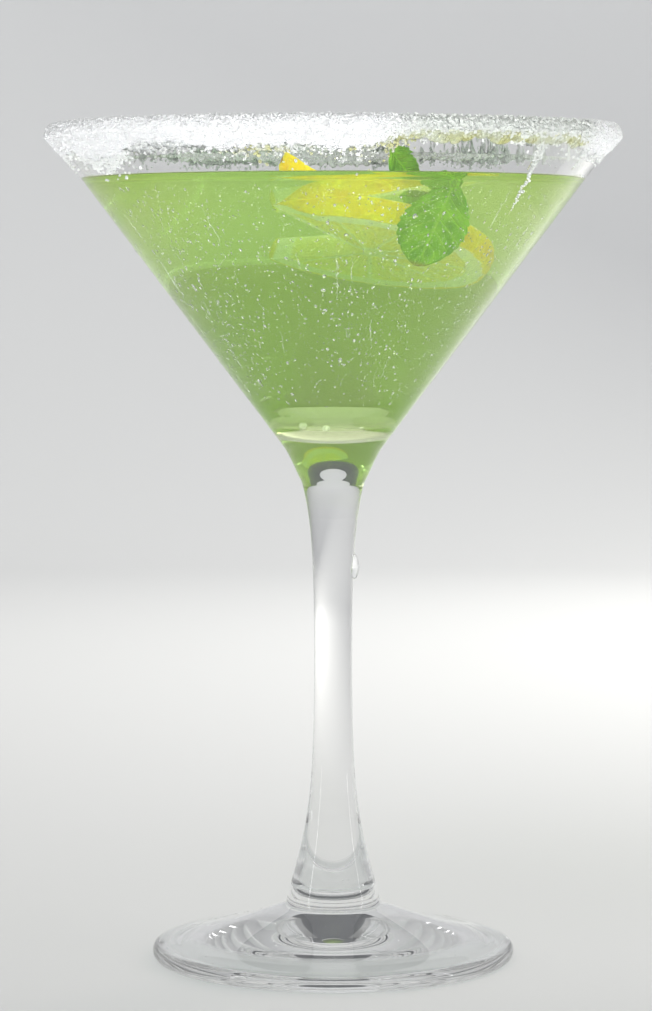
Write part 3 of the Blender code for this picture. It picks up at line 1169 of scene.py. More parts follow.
@dataclass
class MintLeaf:
    """A leaf with a toothed edge, side veins and a puffed blade, curled along its length."""

    node: str
    length: float
    width: float
    fullness: float
    curl: float
    fold: float
    tip: Color
    toward: Color
    facing: Color
    teeth: int = 11
    tooth_depth: float = 0.09
    side_veins: int = 7
    vein_slant: float = 0.28
    vein_width: float = 0.07
    midrib_width: float = 0.05
    puff_height: float = 0.28 * MM
    wave_share: float = 0.03
    stalk_end: float = 0.07
    thickness: float = 0.45 * MM
    along_steps: int = 150
    across_steps: int = 90

    def frame(self) -> np.ndarray:
        """The leaf's own directions: across the blade, along the midrib, and out of its upper side.

        Returns:
            A matrix with the three directions as columns.
        """
        y = np.subtract(self.toward, self.tip)
        y = y / np.linalg.norm(y)
        x = np.cross(y, self.facing)
        x = x / np.linalg.norm(x)
        return np.stack([x, y, np.cross(x, y)], -1)

    def vein(self, along: np.ndarray, across: np.ndarray) -> np.ndarray:
        """1 on the midrib and the side veins, which run from it towards the tip, 0 between them.

        Args:
            along: 0 at the tip, 1 at the stalk.
            across: -1 at one edge, 1 at the other.

        Returns:
            One share for each point.
        """
        midrib = np.exp(-((across / self.midrib_width) ** 2))
        phase = (along + self.vein_slant * np.abs(across)) * self.side_veins
        gap = 0.5 - np.abs((phase % 1.0) - 0.5)
        side = np.exp(-((gap / self.vein_width) ** 2)) * (1 - smooth_step(np.abs(across), 0.75, 0.98))
        return np.maximum(midrib, 0.8 * side)

    def blade(self, along: np.ndarray, across: np.ndarray, side: float) -> np.ndarray:
        """A point on the upper or under side, in the leaf's own frame.

        Args:
            along: 0 at the tip, 1 at the stalk.
            across: -1 at one edge, 1 at the other.
            side: 1 for the upper side, -1 for the under side.

        Returns:
            Points in the leaf's own frame.
        """
        swell = np.sin(np.pi * np.clip(along, 0, 1) ** self.fullness) ** 0.8
        tooth = np.abs((along * self.teeth) % 1.0 - 0.25) * smooth_step(np.abs(across), 0.55, 1.0)
        tooth = 1 - self.tooth_depth * tooth
        reach = across * self.width / 2 * (0.05 + 0.95 * swell) * tooth
        bend = self.curl * along
        run = self.length / self.curl * np.sin(bend)
        lift = self.length / self.curl * (1 - np.cos(bend))
        fold = self.fold * reach**2 / (self.width / 2)
        wave = self.wave_share * self.width * np.sin(2.2 * np.pi * along + 1.3 * across) * np.abs(across)
        puff = self.puff_height * (1 - self.vein(along, across))
        puff = puff * (1 - smooth_step(np.abs(across), 0.8, 1.0))
        rim = 1 - smooth_step(np.abs(across), 0.9, 1.0) * 0.75
        height = fold + wave + puff + side * self.thickness / 2 * rim
        return np.stack([reach, run - np.sin(bend) * height, lift + np.cos(bend) * height], -1)

    def build(self, finish: bpy.types.Material) -> bpy.types.Object:
        """Makes the two sides as grids that share their outline, closes them into one skin, and dresses
        it.

        Args:
            finish: the leaf's material.

        Returns:
            The finished piece.
        """
        along, across = np.meshgrid(
            np.linspace(0, 1, self.along_steps), np.linspace(-1, 1, self.across_steps), indexing="ij"
        )
        loop_along = np.concatenate([along, along[:, ::-1]], 1)
        loop_across = np.concatenate([across, across[:, ::-1]], 1)
        side = np.concatenate([np.ones_like(across), -np.ones_like(across)], 1)
        local = self.blade(loop_along, loop_across, side)
        columns = loop_along.shape[1]
        quads = grid_quads(self.along_steps, columns, wrap_columns=True)
        ends = []
        for row in (0, self.along_steps - 1):
            half = row * columns + np.arange(self.across_steps - 1)
            other = row * columns + columns - 1 - np.arange(self.across_steps - 1)
            cap = np.stack([half, half + 1, other - 1, other], -1)
            ends.append(cap[:, ::-1] if row == 0 else cap)
        points = local.reshape(-1, 3) @ self.frame().T + np.array(self.tip) * MM
        piece = make_piece(self.node.replace("leaf", "blade"), points, [quads, *ends])
        add_mask(piece, "vein", self.vein(loop_along, loop_across))
        add_mask(piece, "stalk", 0.8 * (1 - smooth_step(loop_along, 0.0, self.stalk_end)))
        return place(piece, finish, "mint", self.node)


# --- The sugar ----------------------------------------------------------------------------------------


@dataclass(frozen=True)
class SlippedClump:
    """Grains that have slid down the glass together: where they lie, in degrees, and how wet they are."""

    middle: float
    spread: float
    grains: int
    wetness: float


@dataclass(frozen=True)
class SyrupRun:
    """A run of syrup: angles in degrees and heights in millimetres, from its top to its end."""

    from_angle: float
    to_angle: float
    top: float
    end: float
    grains: int


@dataclass
class SugarRim:
    """Sugar crusted over the rim: a rough core, loose grains, melted blobs at the front right, and runs
    of syrup.
    """

    bowl: GlassBody
    side: float = 0.85 * MM
    crown: float = 2.1 * MM
    depth: float = 3.7 * MM
    uneven: float = 1.1 * MM
    around: int = 1260
    grains: int = 15500
    slipped: int = 1500
    melt_middle: float = math.radians(-53)
    melt_inner: float = 19.0
    melt_outer: float = 30.0
    clump_middle: float = math.radians(-146)
    clump_drop: float = 1.9 * MM
    leg: float = 0.3
    sink: float = 0.1 * MM
    top_drop: float = 0.4 * MM
    band_drop: float = 0.5 * MM
    grain_size: float = 0.38 * MM
    run_radius: float = 0.17 * MM
    run_least: float = 0.05 * MM
    clumps: tuple[SlippedClump, ...] = (
        SlippedClump(middle=-103, spread=5, grains=130, wetness=0.95),
        SlippedClump(middle=-79, spread=4, grains=110, wetness=0.95),
        SlippedClump(middle=-146, spread=6, grains=190, wetness=0.25),
    )
    tracks: tuple[SyrupRun, ...] = (
        SyrupRun(from_angle=-43.2, to_angle=-41.6, top=170.2, end=155.0, grains=210),
        SyrupRun(from_angle=-44.6, to_angle=-43.8, top=169.6, end=163.6, grains=80),
        SyrupRun(from_angle=-25.6, to_angle=-26.4, top=169.2, end=164.0, grains=60),
    )

    def near(self, angle: np.ndarray, middle: float, inner: float, outer: float) -> np.ndarray:
        """1 within inner degrees of a middle angle, 0 beyond outer degrees, and a smooth fall between.

        Args:
            angle: angles round the rim, in radians.
            middle: the middle angle, in radians.
            inner: degrees from the middle where the fall starts.
            outer: degrees from the middle where it ends.

        Returns:
            One share for each angle.
        """
        off = np.abs((angle - middle + np.pi) % (2 * np.pi) - np.pi)
        return 1 - smooth_step(off, math.radians(inner), math.radians(outer))

    def melt(self, angle: np.ndarray) -> np.ndarray:
        """1 where the sugar has melted, round the front right of the rim, and 0 where it is dry."""
        return self.near(angle, self.melt_middle, self.melt_inner, self.melt_outer)

    def round_rim(self, angle: np.ndarray) -> np.ndarray:
        """Points of the rim's circle, seen from above."""
        return np.stack([np.cos(angle), np.sin(angle)], -1) * self.bowl.rim_radius

    def ends(self, angle: np.ndarray) -> tuple[np.ndarray, np.ndarray]:
        """Heights where the crust's outer and inner legs end: ragged, short where melted, long in one
        clump.

        Args:
            angle: angles round the rim.

        Returns:
            The outer and the inner heights.
        """

        def ripple(phase: float) -> np.ndarray:
            """Three sines round the rim, shifted by a phase."""
            slow = 0.5 * np.sin(5 * angle + phase) + 0.3 * np.sin(11 * angle + 2.1 * phase)
            return slow + 0.2 * np.sin(17 * angle)

        round_rim = self.round_rim(angle)
        fine = 0.5 * MM * waves(round_rim, Seed.LEG_RAGGED, 3 * MM)
        fine = fine + 0.3 * MM * waves(round_rim, Seed.LEG_FINE, 1.1 * MM)
        base = self.bowl.height - self.depth + 1.7 * MM * self.melt(angle)
        outside = base + self.uneven * ripple(0.7) + fine
        outside = outside - self.clump_drop * self.near(angle, self.clump_middle, 3, 15)
        return outside, base + self.uneven * ripple(2.9) - fine

    def skin(self, angle: np.ndarray, along: np.ndarray, away: float = 0.0) -> np.ndarray:
        """A point of the crust's outside: along runs from the outer leg's end (0) over the crown (0.5)
        to the inner leg's end (1). Each leg takes the same share of that way. It follows the cone,
        sunk a little into the glass, and swells as the sine of the way up to a power. The crown is half
        an ellipse over the rim.

        Args:
            angle: angles round the rim.
            along: the way over the crust.
            away: how far off the skin the point lies.

        Returns:
            One point for each angle.
        """
        outside_end, inside_end = self.ends(angle)
        top = self.bowl.height - self.top_drop
        middle = float(self.bowl.outer(top)) - self.bowl.wall / 2
        half = self.bowl.wall / 2 + self.side
        up_out, up_in = np.clip(along / self.leg, 0, 1), np.clip((1 - along) / self.leg, 0, 1)
        thick = self.side + self.sink + away
        z_out, z_in = outside_end + (top - outside_end) * up_out, inside_end + (top - inside_end) * up_in
        r_out = self.bowl.outer(z_out) - self.sink + thick * np.sin(up_out * np.pi / 2) ** 0.7
        r_in = self.bowl.inner(z_in) + self.sink - thick * np.sin(up_in * np.pi / 2) ** 0.7
        turn = np.pi * np.clip((along - self.leg) / (1 - 2 * self.leg), 0, 1)
        r_crown = middle + (half + away) * np.cos(turn)
        z_crown = top + (self.crown + self.top_drop + away) * np.sin(turn)
        on_out, on_in = along < self.leg, along > 1 - self.leg
        radius = np.where(on_out, r_out, np.where(on_in, r_in, r_crown))
        height = np.where(on_out, z_out, np.where(on_in, z_in, z_crown))
        return round_axis(radius, angle, height)

    def on_wall(self, angle: np.ndarray, height: np.ndarray, out: np.ndarray | float) -> np.ndarray:
        """A point on the bowl's outside, pushed out by a distance."""
        return round_axis(self.bowl.outer(height) + out, angle, height)

    def build_core(self, finish: bpy.types.Material) -> bpy.types.Object:
        """The crust's rough body: the skin with grain-sized relief, closed by a band inside the glass
        wall.

        Args:
            finish: the crust's material.

        Returns:
            The finished piece.
        """
        a, s = np.meshgrid(
            np.linspace(0, 2 * np.pi, self.around, endpoint=False), np.linspace(0, 1, 52), indexing="ij"
        )
        base = self.skin(a, s)
        relief = 0.18 * MM * waves(base, Seed.CRUST_COARSE, 0.9 * MM, 40)
        relief = relief + 0.12 * MM * waves(base, Seed.CRUST_FINE, 0.5 * MM, 40)
        relief = (relief - 0.3 * MM * self.melt(a)) * smooth_step(s, 0, 0.08) * smooth_step(1 - s, 0, 0.08)
        middle = float(self.bowl.outer(self.bowl.height)) - self.bowl.wall / 2
        band_top = self.bowl.height - self.band_drop
        away = base - round_axis(middle, a, band_top)
        on_crown = (s > self.leg) & (s < 1 - self.leg)
        away[..., 2] = np.where(on_crown, away[..., 2], 0.15 * away[..., 2])
        away /= np.linalg.norm(away, axis=-1, keepdims=True)
        outer = base + away * relief[..., None]
        # the closing band lies in the middle of the glass wall, under the crust
        a_back, t = np.meshgrid(a[:, 0], np.linspace(1, 0, 10)[1:-1], indexing="ij")
        outside_end, inside_end = self.ends(a_back)
        z_low = inside_end * t + outside_end * (1 - t)
        z = z_low + (band_top - z_low) * np.sin(np.pi * t)
        inner = self.on_wall(a_back, z, -self.bowl.wall * (0.15 + 0.7 * t))
        grid = np.concatenate([outer, inner], 1)
        quads = grid_quads(self.around, grid.shape[1], wrap_rows=True, wrap_columns=True)
        piece = make_piece("sugar_core", grid.reshape(-1, 3), [quads])
        # The melt mask also greys the crust in its finish: partly the melted sugar's duller tone, partly
        # painted shade on the front right.
        add_mask(piece, "melt", np.broadcast_to(0.6 * self.melt(a[:, :1]), grid.shape[:2]))
        return place(piece, finish, "sugar", "sugar_rim")

    def build_grains(self, finish: bpy.types.Material) -> bpy.types.Object:
        """Loose grains: small blocks of random size and turn on the crust, fewer where it has melted,
        and some that have slipped down the glass, wet where they lie thick.

        Args:
            finish: the grains' material.

        Returns:
            The finished piece.
        """
        draw = np.random.default_rng(Seed.SUGAR_GRAINS)
        angle = draw.uniform(0, 2 * np.pi, self.grains)
        along = draw.beta(1.15, 1.15, self.grains)
        keep = draw.uniform(size=self.grains) > 0.6 * self.melt(angle)
        angle, along = angle[keep], along[keep]
        center = self.skin(angle, along, -0.05 * MM)
        wet = 0.5 * self.melt(angle)
        low_angle = draw.uniform(0, 2 * np.pi, self.slipped)
        low_wet = np.full(self.slipped, 0.25)
        start = 0
        for clump in self.clumps:
            here = slice(start, start + clump.grains)
            low_angle[here] = np.radians(draw.normal(clump.middle, clump.spread, clump.grains))
            low_wet[here] = clump.wetness
            start += clump.grains
        drop = draw.exponential(0.75 * MM, self.slipped)
        drop = drop * (1 + 0.4 * self.near(low_angle, self.clump_middle, 3, 14))
        height = self.ends(low_angle)[0] - drop
        center = np.vstack([center, self.on_wall(low_angle, height, 0.12 * MM)])
        angle, wet = np.concatenate([angle, low_angle]), np.concatenate([wet, low_wet])
        count = len(angle)
        size = np.clip(draw.lognormal(math.log(self.grain_size), 0.2, count), 0.2 * MM, 0.62 * MM)
        block = np.array([[x, y, z] for x in (-1, 1) for y in (-1, 1) for z in (-1, 1)], float) / 2
        block[:, 2] *= 1.25
        ends, sides = [[0, 1, 3, 2], [4, 6, 7, 5]], [[0, 4, 5, 1], [2, 3, 7, 6], [0, 2, 6, 4], [1, 5, 7, 3]]
        turns = random_turns(draw, count)
        sizes = size[:, None] * draw.uniform(0.75, 1.2, (count, 3))
        points, quads = scattered(block, np.array(ends + sides), turns * sizes[:, None, :], center)
        piece = make_piece("sugar_grains", points, [quads], smooth=False)
        # The melt mask greys the grains in their finish: partly the wet sugar's duller tone, partly painted
        # shade.
        add_mask(piece, "melt", np.repeat(wet, len(block)))
        return place(piece, finish, "sugar")

    def build_melted(self, finish: bpy.types.Material) -> bpy.types.Object:
        """Melted sugar hanging as scalloped blobs below the crust: a shell on the bowl's outside whose
        lower edge is a row of arcs, |sin|, of uneven width, and which is thickest near that edge.

        Args:
            finish: the melted sugar's material.

        Returns:
            The finished piece.
        """
        angle = np.linspace(self.melt_middle - math.radians(29), self.melt_middle + math.radians(27), 420)
        around_rim = self.round_rim(angle)
        phase = angle * self.bowl.rim_radius / (1.25 * MM)
        phase = phase + 1.6 * waves(around_rim, Seed.SCALLOP_SHIFT, 8 * MM)
        scallop = np.abs(np.sin(phase)) ** 0.5
        fade = smooth_step(angle, angle[0], angle[0] + 0.06)
        fade = fade * smooth_step(-angle, -angle[-1], 0.06 - angle[-1])
        hang = 2.3 + 0.8 * scallop + 0.5 * waves(around_rim, Seed.SCALLOP_DEPTH, 9 * MM)
        low, high = self.bowl.height - hang * MM, self.bowl.height - self.top_drop
        turn = np.linspace(0, 2 * np.pi, 28, endpoint=False)
        a, t = np.meshgrid(angle, turn, indexing="ij")
        way = (1 - np.cos(t)) / 2
        height = low[:, None] + (high - low[:, None]) * way
        bead = np.exp(-(((way - 0.16) / 0.2) ** 2)) * (0.35 + 0.65 * scallop[:, None])
        swell = 0.42 * MM + 0.34 * MM * bead
        unrolled = np.stack([a * self.bowl.rim_radius, height], -1)
        lumps = 1 + 0.22 * waves(unrolled, Seed.MELTED_LUMPS, 2.4 * MM)
        rise = np.abs(np.sin(t))
        out = swell * lumps * rise**0.5 * fade[:, None] + 0.02 * MM
        grid = self.on_wall(a, height, np.where(np.sin(t) < 0, -0.12 * MM * rise, out))
        rows, columns = grid.shape[:2]
        first = np.arange(columns)[None, ::-1]
        last = (rows - 1) * columns + np.arange(columns)[None]
        skin = grid_quads(rows, columns, wrap_columns=True)
        piece = make_piece("sugar_melted", grid.reshape(-1, 3), [skin, first, last])
        return place(piece, finish, "clear_glass")

    def build_runs(self, syrup: bpy.types.Material, sugar: bpy.types.Material) -> None:
        """Three runs down the bowl's front right: a thin tube of syrup with grains caught along it.

        Args:
            syrup: the runs' material.
            sugar: the grains' material.
        """
        draw = np.random.default_rng(Seed.SYRUP_GRAINS)
        points, faces, start, spots = [], [], 0, []
        for track in self.tracks:
            t = np.linspace(0, 1, 44)
            way = (t * (track.top - track.end) * MM)[:, None]
            sway = 0.25 * MM * waves(way, int(track.top * 10), 4 * MM) / self.bowl.rim_radius
            a = np.radians(track.from_angle + (track.to_angle - track.from_angle) * t) + sway
            z = (track.top + (track.end - track.top) * t) * MM
            beading = 1 + 0.3 * waves((t * 15 * MM)[:, None], Seed.RUN_BEADING, 1.6 * MM)
            radii = np.clip(self.run_radius * (1 - 0.45 * t) * beading, self.run_least, None)
            run, run_faces = tube(self.on_wall(a, z, 0.0), radii)
            points.append(run)
            faces += [part + start for part in run_faces]
            start += len(run)
            pick = draw.beta(1.0, 1.7, track.grains)
            side = draw.normal(0, 0.32 * MM, track.grains) / self.bowl.rim_radius
            spots.append(self.on_wall(np.interp(pick, t, a) + side, np.interp(pick, t, z), 0.14 * MM))
        place(make_piece("syrup_runs", np.vstack(points), faces), syrup, "clear_glass")
        spot = np.vstack(spots)
        size = draw.uniform(0.14, 0.34, len(spot))[:, None] * MM * draw.uniform(0.8, 1.2, (len(spot), 3))
        frames = random_turns(draw, len(spot)) * size[:, None, :]
        caught_points, caught_faces = scattered(*ball(sides=5, rings=2), frames, spot)
        piece = make_piece("syrup_grains", caught_points, [caught_faces])
        add_mask(piece, "melt", np.full(len(caught_points), 0.55))
        place(piece, sugar, "sugar")

    def build(self) -> None:
        """Makes every piece of the sugared rim."""
        sugar = SugarFinish("sugar").make()
        grain = SugarFinish("sugar_grain", clear_share=0.08, roughness=0.3, grain=0.0).make()
        syrup = SyrupFinish().make()
        self.build_core(sugar)
        self.build_grains(grain)
        self.build_melted(syrup)
        self.build_runs(syrup, grain)


# --- Water, bubbles and syrup -------------------------------------------------------------------------


def dome(sides: int) -> tuple[np.ndarray, np.ndarray]:
    """A closed drop of unit radius lying on the XY plane: rings that rise to a flat top, and a base.

    Args:
        sides: points round each ring.

    Returns:
        The points and triangles.
    """
    angle = np.linspace(0, 2 * np.pi, sides, endpoint=False)
    rings = [(1.0, -0.1), (0.86, 0.11), (0.5, 0.23)]
    points = [np.stack([r * np.cos(angle), r * np.sin(angle), np.full(sides, h)], -1) for r, h in rings]
    points = np.vstack([*points, [[0, 0, 0.27], [0, 0, -0.1]]])
    wall = grid_quads(len(rings), sides, wrap_columns=True)
    here, ahead = np.arange(sides), (np.arange(sides) + 1) % sides
    top, base = len(rings) * sides, len(rings) * sides + 1
    last = (len(rings) - 1) * sides
    cap = np.stack([np.full(sides, top), last + here, last + ahead], -1)
    under = np.stack([np.full(sides, base), ahead, here], -1)
    return points, np.vstack([wall[:, [0, 1, 2]], wall[:, [0, 2, 3]], cap, under])


def ball(sides: int, rings: int) -> tuple[np.ndarray, np.ndarray]:
    """A closed ball of unit radius.

    Args:
        sides: points round each ring.
        rings: rings between the poles.

    Returns:
        The points and triangles.
    """
    turn = np.linspace(0, np.pi, rings + 2)
    points, faces = revolved(np.stack([np.sin(turn), -np.cos(turn)], -1), sides)
    quads = faces[0]
    return points, np.vstack([quads[:, [0, 1, 2]], quads[:, [0, 2, 3]], faces[1], faces[2]])


def tube(path: np.ndarray, radii: np.ndarray, sides: int = 8) -> tuple[np.ndarray, list[np.ndarray]]:
    """A closed tube along a path, with a radius for each of its points and pointed ends.

    Args:
        path: the middle line, one point a line.
        radii: the radius at each point.
        sides: points round the tube.

    Returns:
        The points and the faces.
    """
    ahead = np.gradient(path, axis=0)
    ahead /= np.linalg.norm(ahead, axis=1, keepdims=True)
    side = np.cross(ahead, [0.0, 0.0, 1.0])
    side /= np.linalg.norm(side, axis=1, keepdims=True)
    up = np.cross(side, ahead)
    angle = np.linspace(0, 2 * np.pi, sides, endpoint=False)
    ring = np.cos(angle)[None, :, None] * side[:, None] + np.sin(angle)[None, :, None] * up[:, None]
    points = path[:, None] + ring * radii[:, None, None]
    count = len(path)
    here, ahead_index = np.arange(sides), (np.arange(sides) + 1) % sides
    start = np.stack([np.full(sides, count * sides), ahead_index, here], -1)
    end = (count - 1) * sides
    stop = np.stack([np.full(sides, count * sides + 1), end + here, end + ahead_index], -1)
    body = grid_quads(count, sides, wrap_columns=True)
    return np.vstack([points.reshape(-1, 3), path[:1], path[-1:]]), [body, start, stop]


@dataclass(frozen=True)
class Crowd:
    """Things that lie close together: their middle and spread, in radians from the front, and their
    share of all.
    """

    middle: float
    spread: float
    share: float


def crowded(draw: np.random.Generator, crowds: tuple[Crowd, ...], count: int) -> list[np.ndarray]:
    """Angles from the front, gathered round each crowd's middle.

    Args:
        draw: the random generator.
        crowds: the crowds.
        count: how many things there are in all.

    Returns:
        The angles of each crowd.
    """
    return [draw.normal(crowd.middle, crowd.spread, int(count * crowd.share)) for crowd in crowds]


@dataclass
class Condensation:
    """Water on the outside: beads over the bowl, runs where they joined, one drop on the stem, specks
    on the foot.
    """

    bowl: GlassBody
    beads: int = 3200
    runs: int = 34
    specks: int = 150
    low: float = 116 * MM
    high: float = 160.5 * MM
    crowds: tuple[Crowd, ...] = (Crowd(-0.85, 0.25, 0.34), Crowd(0.12, 0.28, 0.22), Crowd(0.95, 0.25, 0.14))
    bead_size: float = 0.125 * MM
    bead_sides: int = 8
    run_points: int = 22
    run_lengths: tuple[float, float] = (2.5, 9)
    run_radii: tuple[float, float] = (0.06, 0.13)
    drop_height: float = 82.3 * MM
    drop_side: float = math.radians(-16)
    drop_length: float = 2.6 * MM
    drop_radius: float = 1.05 * MM
    speck_size: float = 0.13 * MM

    def __post_init__(self) -> None:
        """Makes the water's finish once."""
        self.water = ClearFinish("water", 1.33, lamp_tint=(0.97, 0.98, 0.98), clear_share=0.88).make()

    def on_cone(self, angle: np.ndarray, height: np.ndarray) -> np.ndarray:
        """Points on the bowl's outside."""
        return round_axis(self.bowl.outer(height), angle, height)

    def cone_frames(self, angle: np.ndarray) -> np.ndarray:
        """For each angle a matrix whose columns run round the bowl, down its slope, and out of it.

        Args:
            angle: angles round the bowl.

        Returns:
            One 3x3 matrix for each angle.
        """
        lean = math.atan(self.bowl.slope)
        round_it = np.stack([-np.sin(angle), np.cos(angle), np.zeros_like(angle)], -1)
        out = round_axis(math.cos(lean), angle, -math.sin(lean))
        return np.stack([round_it, np.cross(out, round_it), out], -1)

    def spread(self, draw: np.random.Generator, count: int) -> tuple[np.ndarray, np.ndarray]:
        """Angles and heights of beads: thick in patches at the front's left, middle and right, thin
        elsewhere.

        Args:
            draw: the random generator.
            count: how many beads.

        Returns:
            The angles and the heights.
        """
        off = np.concatenate(crowded(draw, self.crowds, count))
        off = np.concatenate([off, draw.uniform(-np.pi, np.pi, count - len(off))])
        height = self.low + (self.high - self.low) * draw.beta(1.5, 1.2, count)
        return FRONT + off, height

    def build_beads(self) -> bpy.types.Object:
        """Small drops on the bowl, a little longer down the slope than across.

        Returns:
            The finished piece.
        """
        draw = np.random.default_rng(Seed.BEADS)
        angle, height = self.spread(draw, self.beads)
        size = np.clip(draw.lognormal(math.log(self.bead_size), 0.42, self.beads), 0.08 * MM, 0.55 * MM)
        stretch = np.stack([size, size * draw.uniform(0.9, 1.7, self.beads), size * 0.8], -1)
        frames = self.cone_frames(angle) * stretch[:, None, :]
        points, faces = scattered(*dome(self.bead_sides), frames, self.on_cone(angle, height))
        return place(make_piece("condensation_drops", points, [faces]), self.water, "clear_glass")

    def build_runs(self) -> bpy.types.Object:
        """Runs of water: thin wavy tubes half sunk in the bowl's outside, thicker at their lower end.

        Returns:
            The finished piece.
        """
        draw = np.random.default_rng(Seed.WATER_RUNS)
        angle, height = self.spread(draw, self.runs)
        points, faces, start = [], [], 0
        for a, z in zip(angle, height):
            length = draw.uniform(*self.run_lengths) * MM
            t = np.linspace(0, 1, self.run_points)
            line_z = z - length * t
            sway = np.cumsum(draw.normal(0, 0.12 * MM, len(t))) / float(self.bowl.outer(z))
            radii = draw.uniform(*self.run_radii) * MM * (0.35 + 0.65 * t)
            radii = radii * (1 + 0.25 * np.sin(t * draw.uniform(9, 20)))
            radii = radii * np.sin(np.pi * np.clip(t * 0.97 + 0.015, 0, 1)) ** 0.35
            run, run_faces = tube(self.on_cone(a + sway, line_z), radii)
            points.append(run)
            faces += [part + start for part in run_faces]
            start += len(run)
        piece = make_piece("condensation_runs", np.vstack(points), faces)
        return place(piece, self.water, "clear_glass")

    def build_stem_drop(self) -> bpy.types.Object:
        """One hanging drop on the stem's right, round below and drawn out to a tail above.

        Returns:
            The finished piece.
        """
        t = np.linspace(0, np.pi, 22)
        height = -np.cos(t) * self.drop_length
        radius = self.drop_radius * np.sin(t) * (1 - 0.42 * np.cos(t)) * np.where(height > 0, 0.85, 1.0)
        profile = np.stack([radius * (1 - 0.35 * (height / self.drop_length)), height], -1)
        points, faces = revolved(profile[::-1], 24)
        reach = float(self.bowl.stem(np.array(self.drop_height))) + 0.35 * MM
        points = points + round_axis(reach, self.drop_side, self.drop_height)
        return place(make_piece("stem_drop", points, faces), self.water, "clear_glass")

    def build_foot_specks(self) -> bpy.types.Object:
        """Tiny splashes on the foot's upper face.

        Returns:
            The finished piece.
        """
        draw = np.random.default_rng(Seed.FOOT_SPECKS)
        radius = np.sqrt(draw.uniform(0.16, 0.92, self.specks)) * self.bowl.foot_radius
        angle = draw.uniform(0, 2 * np.pi, self.specks)
        spot = round_axis(radius, angle, self.bowl.foot_top(radius))
        size = np.clip(draw.lognormal(math.log(self.speck_size), 0.4, self.specks), 0.07 * MM, 0.4 * MM)
        frames = np.eye(3)[None] * size[:, None, None]
        points, faces = scattered(*dome(self.bead_sides), frames, spot)
        return place(make_piece("foot_drops", points, [faces]), self.water, "clear_glass")

    def build(self) -> None:
        """Makes every piece of water."""
        self.build_beads()
        self.build_runs()
        self.build_stem_drop()
        self.build_foot_specks()


@dataclass
class Bubbles:
    """Air in the drink: fine beads on the inside of the wall and two larger ones on the floor."""

    bowl: GlassBody
    level: float
    count: int = 2400
    crowds: tuple[Crowd, ...] = (Crowd(0.42, 0.16, 0.3), Crowd(-0.45, 0.3, 0.25))
    strings: int = 9
    strung_share: float = 0.12
    size: float = 0.066 * MM
    low: float = 114 * MM
    below_level: float = 1.5 * MM
    floor_spots: tuple[Color, ...] = ((-5.2, -4.5, 113.1), (-1.2, -4.0, 112.4))
    floor_sizes: tuple[float, ...] = (0.8, 0.75)

    def build(self) -> bpy.types.Object:
        """Makes all bubbles as one piece and dresses it.

        Returns:
            The finished piece.
        """
        draw = np.random.default_rng(Seed.BUBBLES)
        columns = draw.uniform(-0.35, 0.25, self.strings)
        off = crowded(draw, self.crowds, self.count)
        strung = int(self.count * self.strung_share)
        off.append(columns[draw.integers(0, self.strings, strung)] + draw.normal(0, 0.006, strung))
        off.append(draw.uniform(-np.pi, np.pi, self.count - sum(map(len, off))))
        angle = FRONT + np.concatenate(off)
        high = self.level - self.below_level
        height = self.low + (high - self.low) * draw.beta(1.9, 0.95, self.count)
        size = np.clip(draw.lognormal(math.log(self.size), 0.35, self.count), 0.05 * MM, 0.22 * MM)
        radius = self.bowl.inner(height) - size - draw.exponential(0.5 * MM, self.count)
        spot = np.vstack([round_axis(radius, angle, height), np.array(self.floor_spots) * MM])
        size = np.concatenate([size, np.array(self.floor_sizes) * MM])
        points, faces = scattered(*ball(sides=7, rings=4), np.eye(3)[None] * size[:, None, None], spot)
        # Painted glints: the bubbles are three-quarters matte near-white, standing in for the light that
        # clear air bubbles catch.
        air = ClearFinish("air_bubble_painted_glints", 1.2, (1.0, 1.0, 0.97), (0.95, 0.97, 0.93), clear_share=0.25)
        return place(make_piece("bubbles", points, [faces]), air.make(), "clear_glass")


# --- The studio ---------------------------------------------------------------------------------------


class LampRole(Enum):
    """What a lamp is for."""

    KEY = "key"
    LOW = "low_front"
    FILL = "fill"
    EDGE = "edge"
    UNDER = "under_front"
    BACK = "backdrop"
    STRIP_LEFT = "strip_left"
    STRIP_RIGHT = "strip_right"


@dataclass(frozen=True)
class Lamp:
    """A soft rectangular lamp."""

    role: LampRole
    place: Color
    aim: Color
    size: tuple[float, float]
    power: float
    color: Color = (1.0, 1.0, 1.0)
    mirrored: bool = False
    spread: float = math.pi

    def build(self) -> bpy.types.Object:
        """Adds the lamp, turned to its aim.

        Returns:
            The lamp.
        """
        data = bpy.data.lights.new(f"lamp_{self.role.value}", "AREA")
        data.shape = "RECTANGLE"
        data.size, data.size_y = self.size
        data.energy = self.power
        data.spread = self.spread
        data.color = self.color
        made = bpy.data.objects.new(data.name, data)
        made.visible_camera = False
        made.visible_glossy = self.mirrored
        made.visible_transmission = self.mirrored
        made.location = self.place
        made.rotation_euler = (Vector(self.aim) - Vector(self.place)).to_track_quat("-Z", "Y").to_euler()
        bpy.context.scene.collection.objects.link(made)
        return made


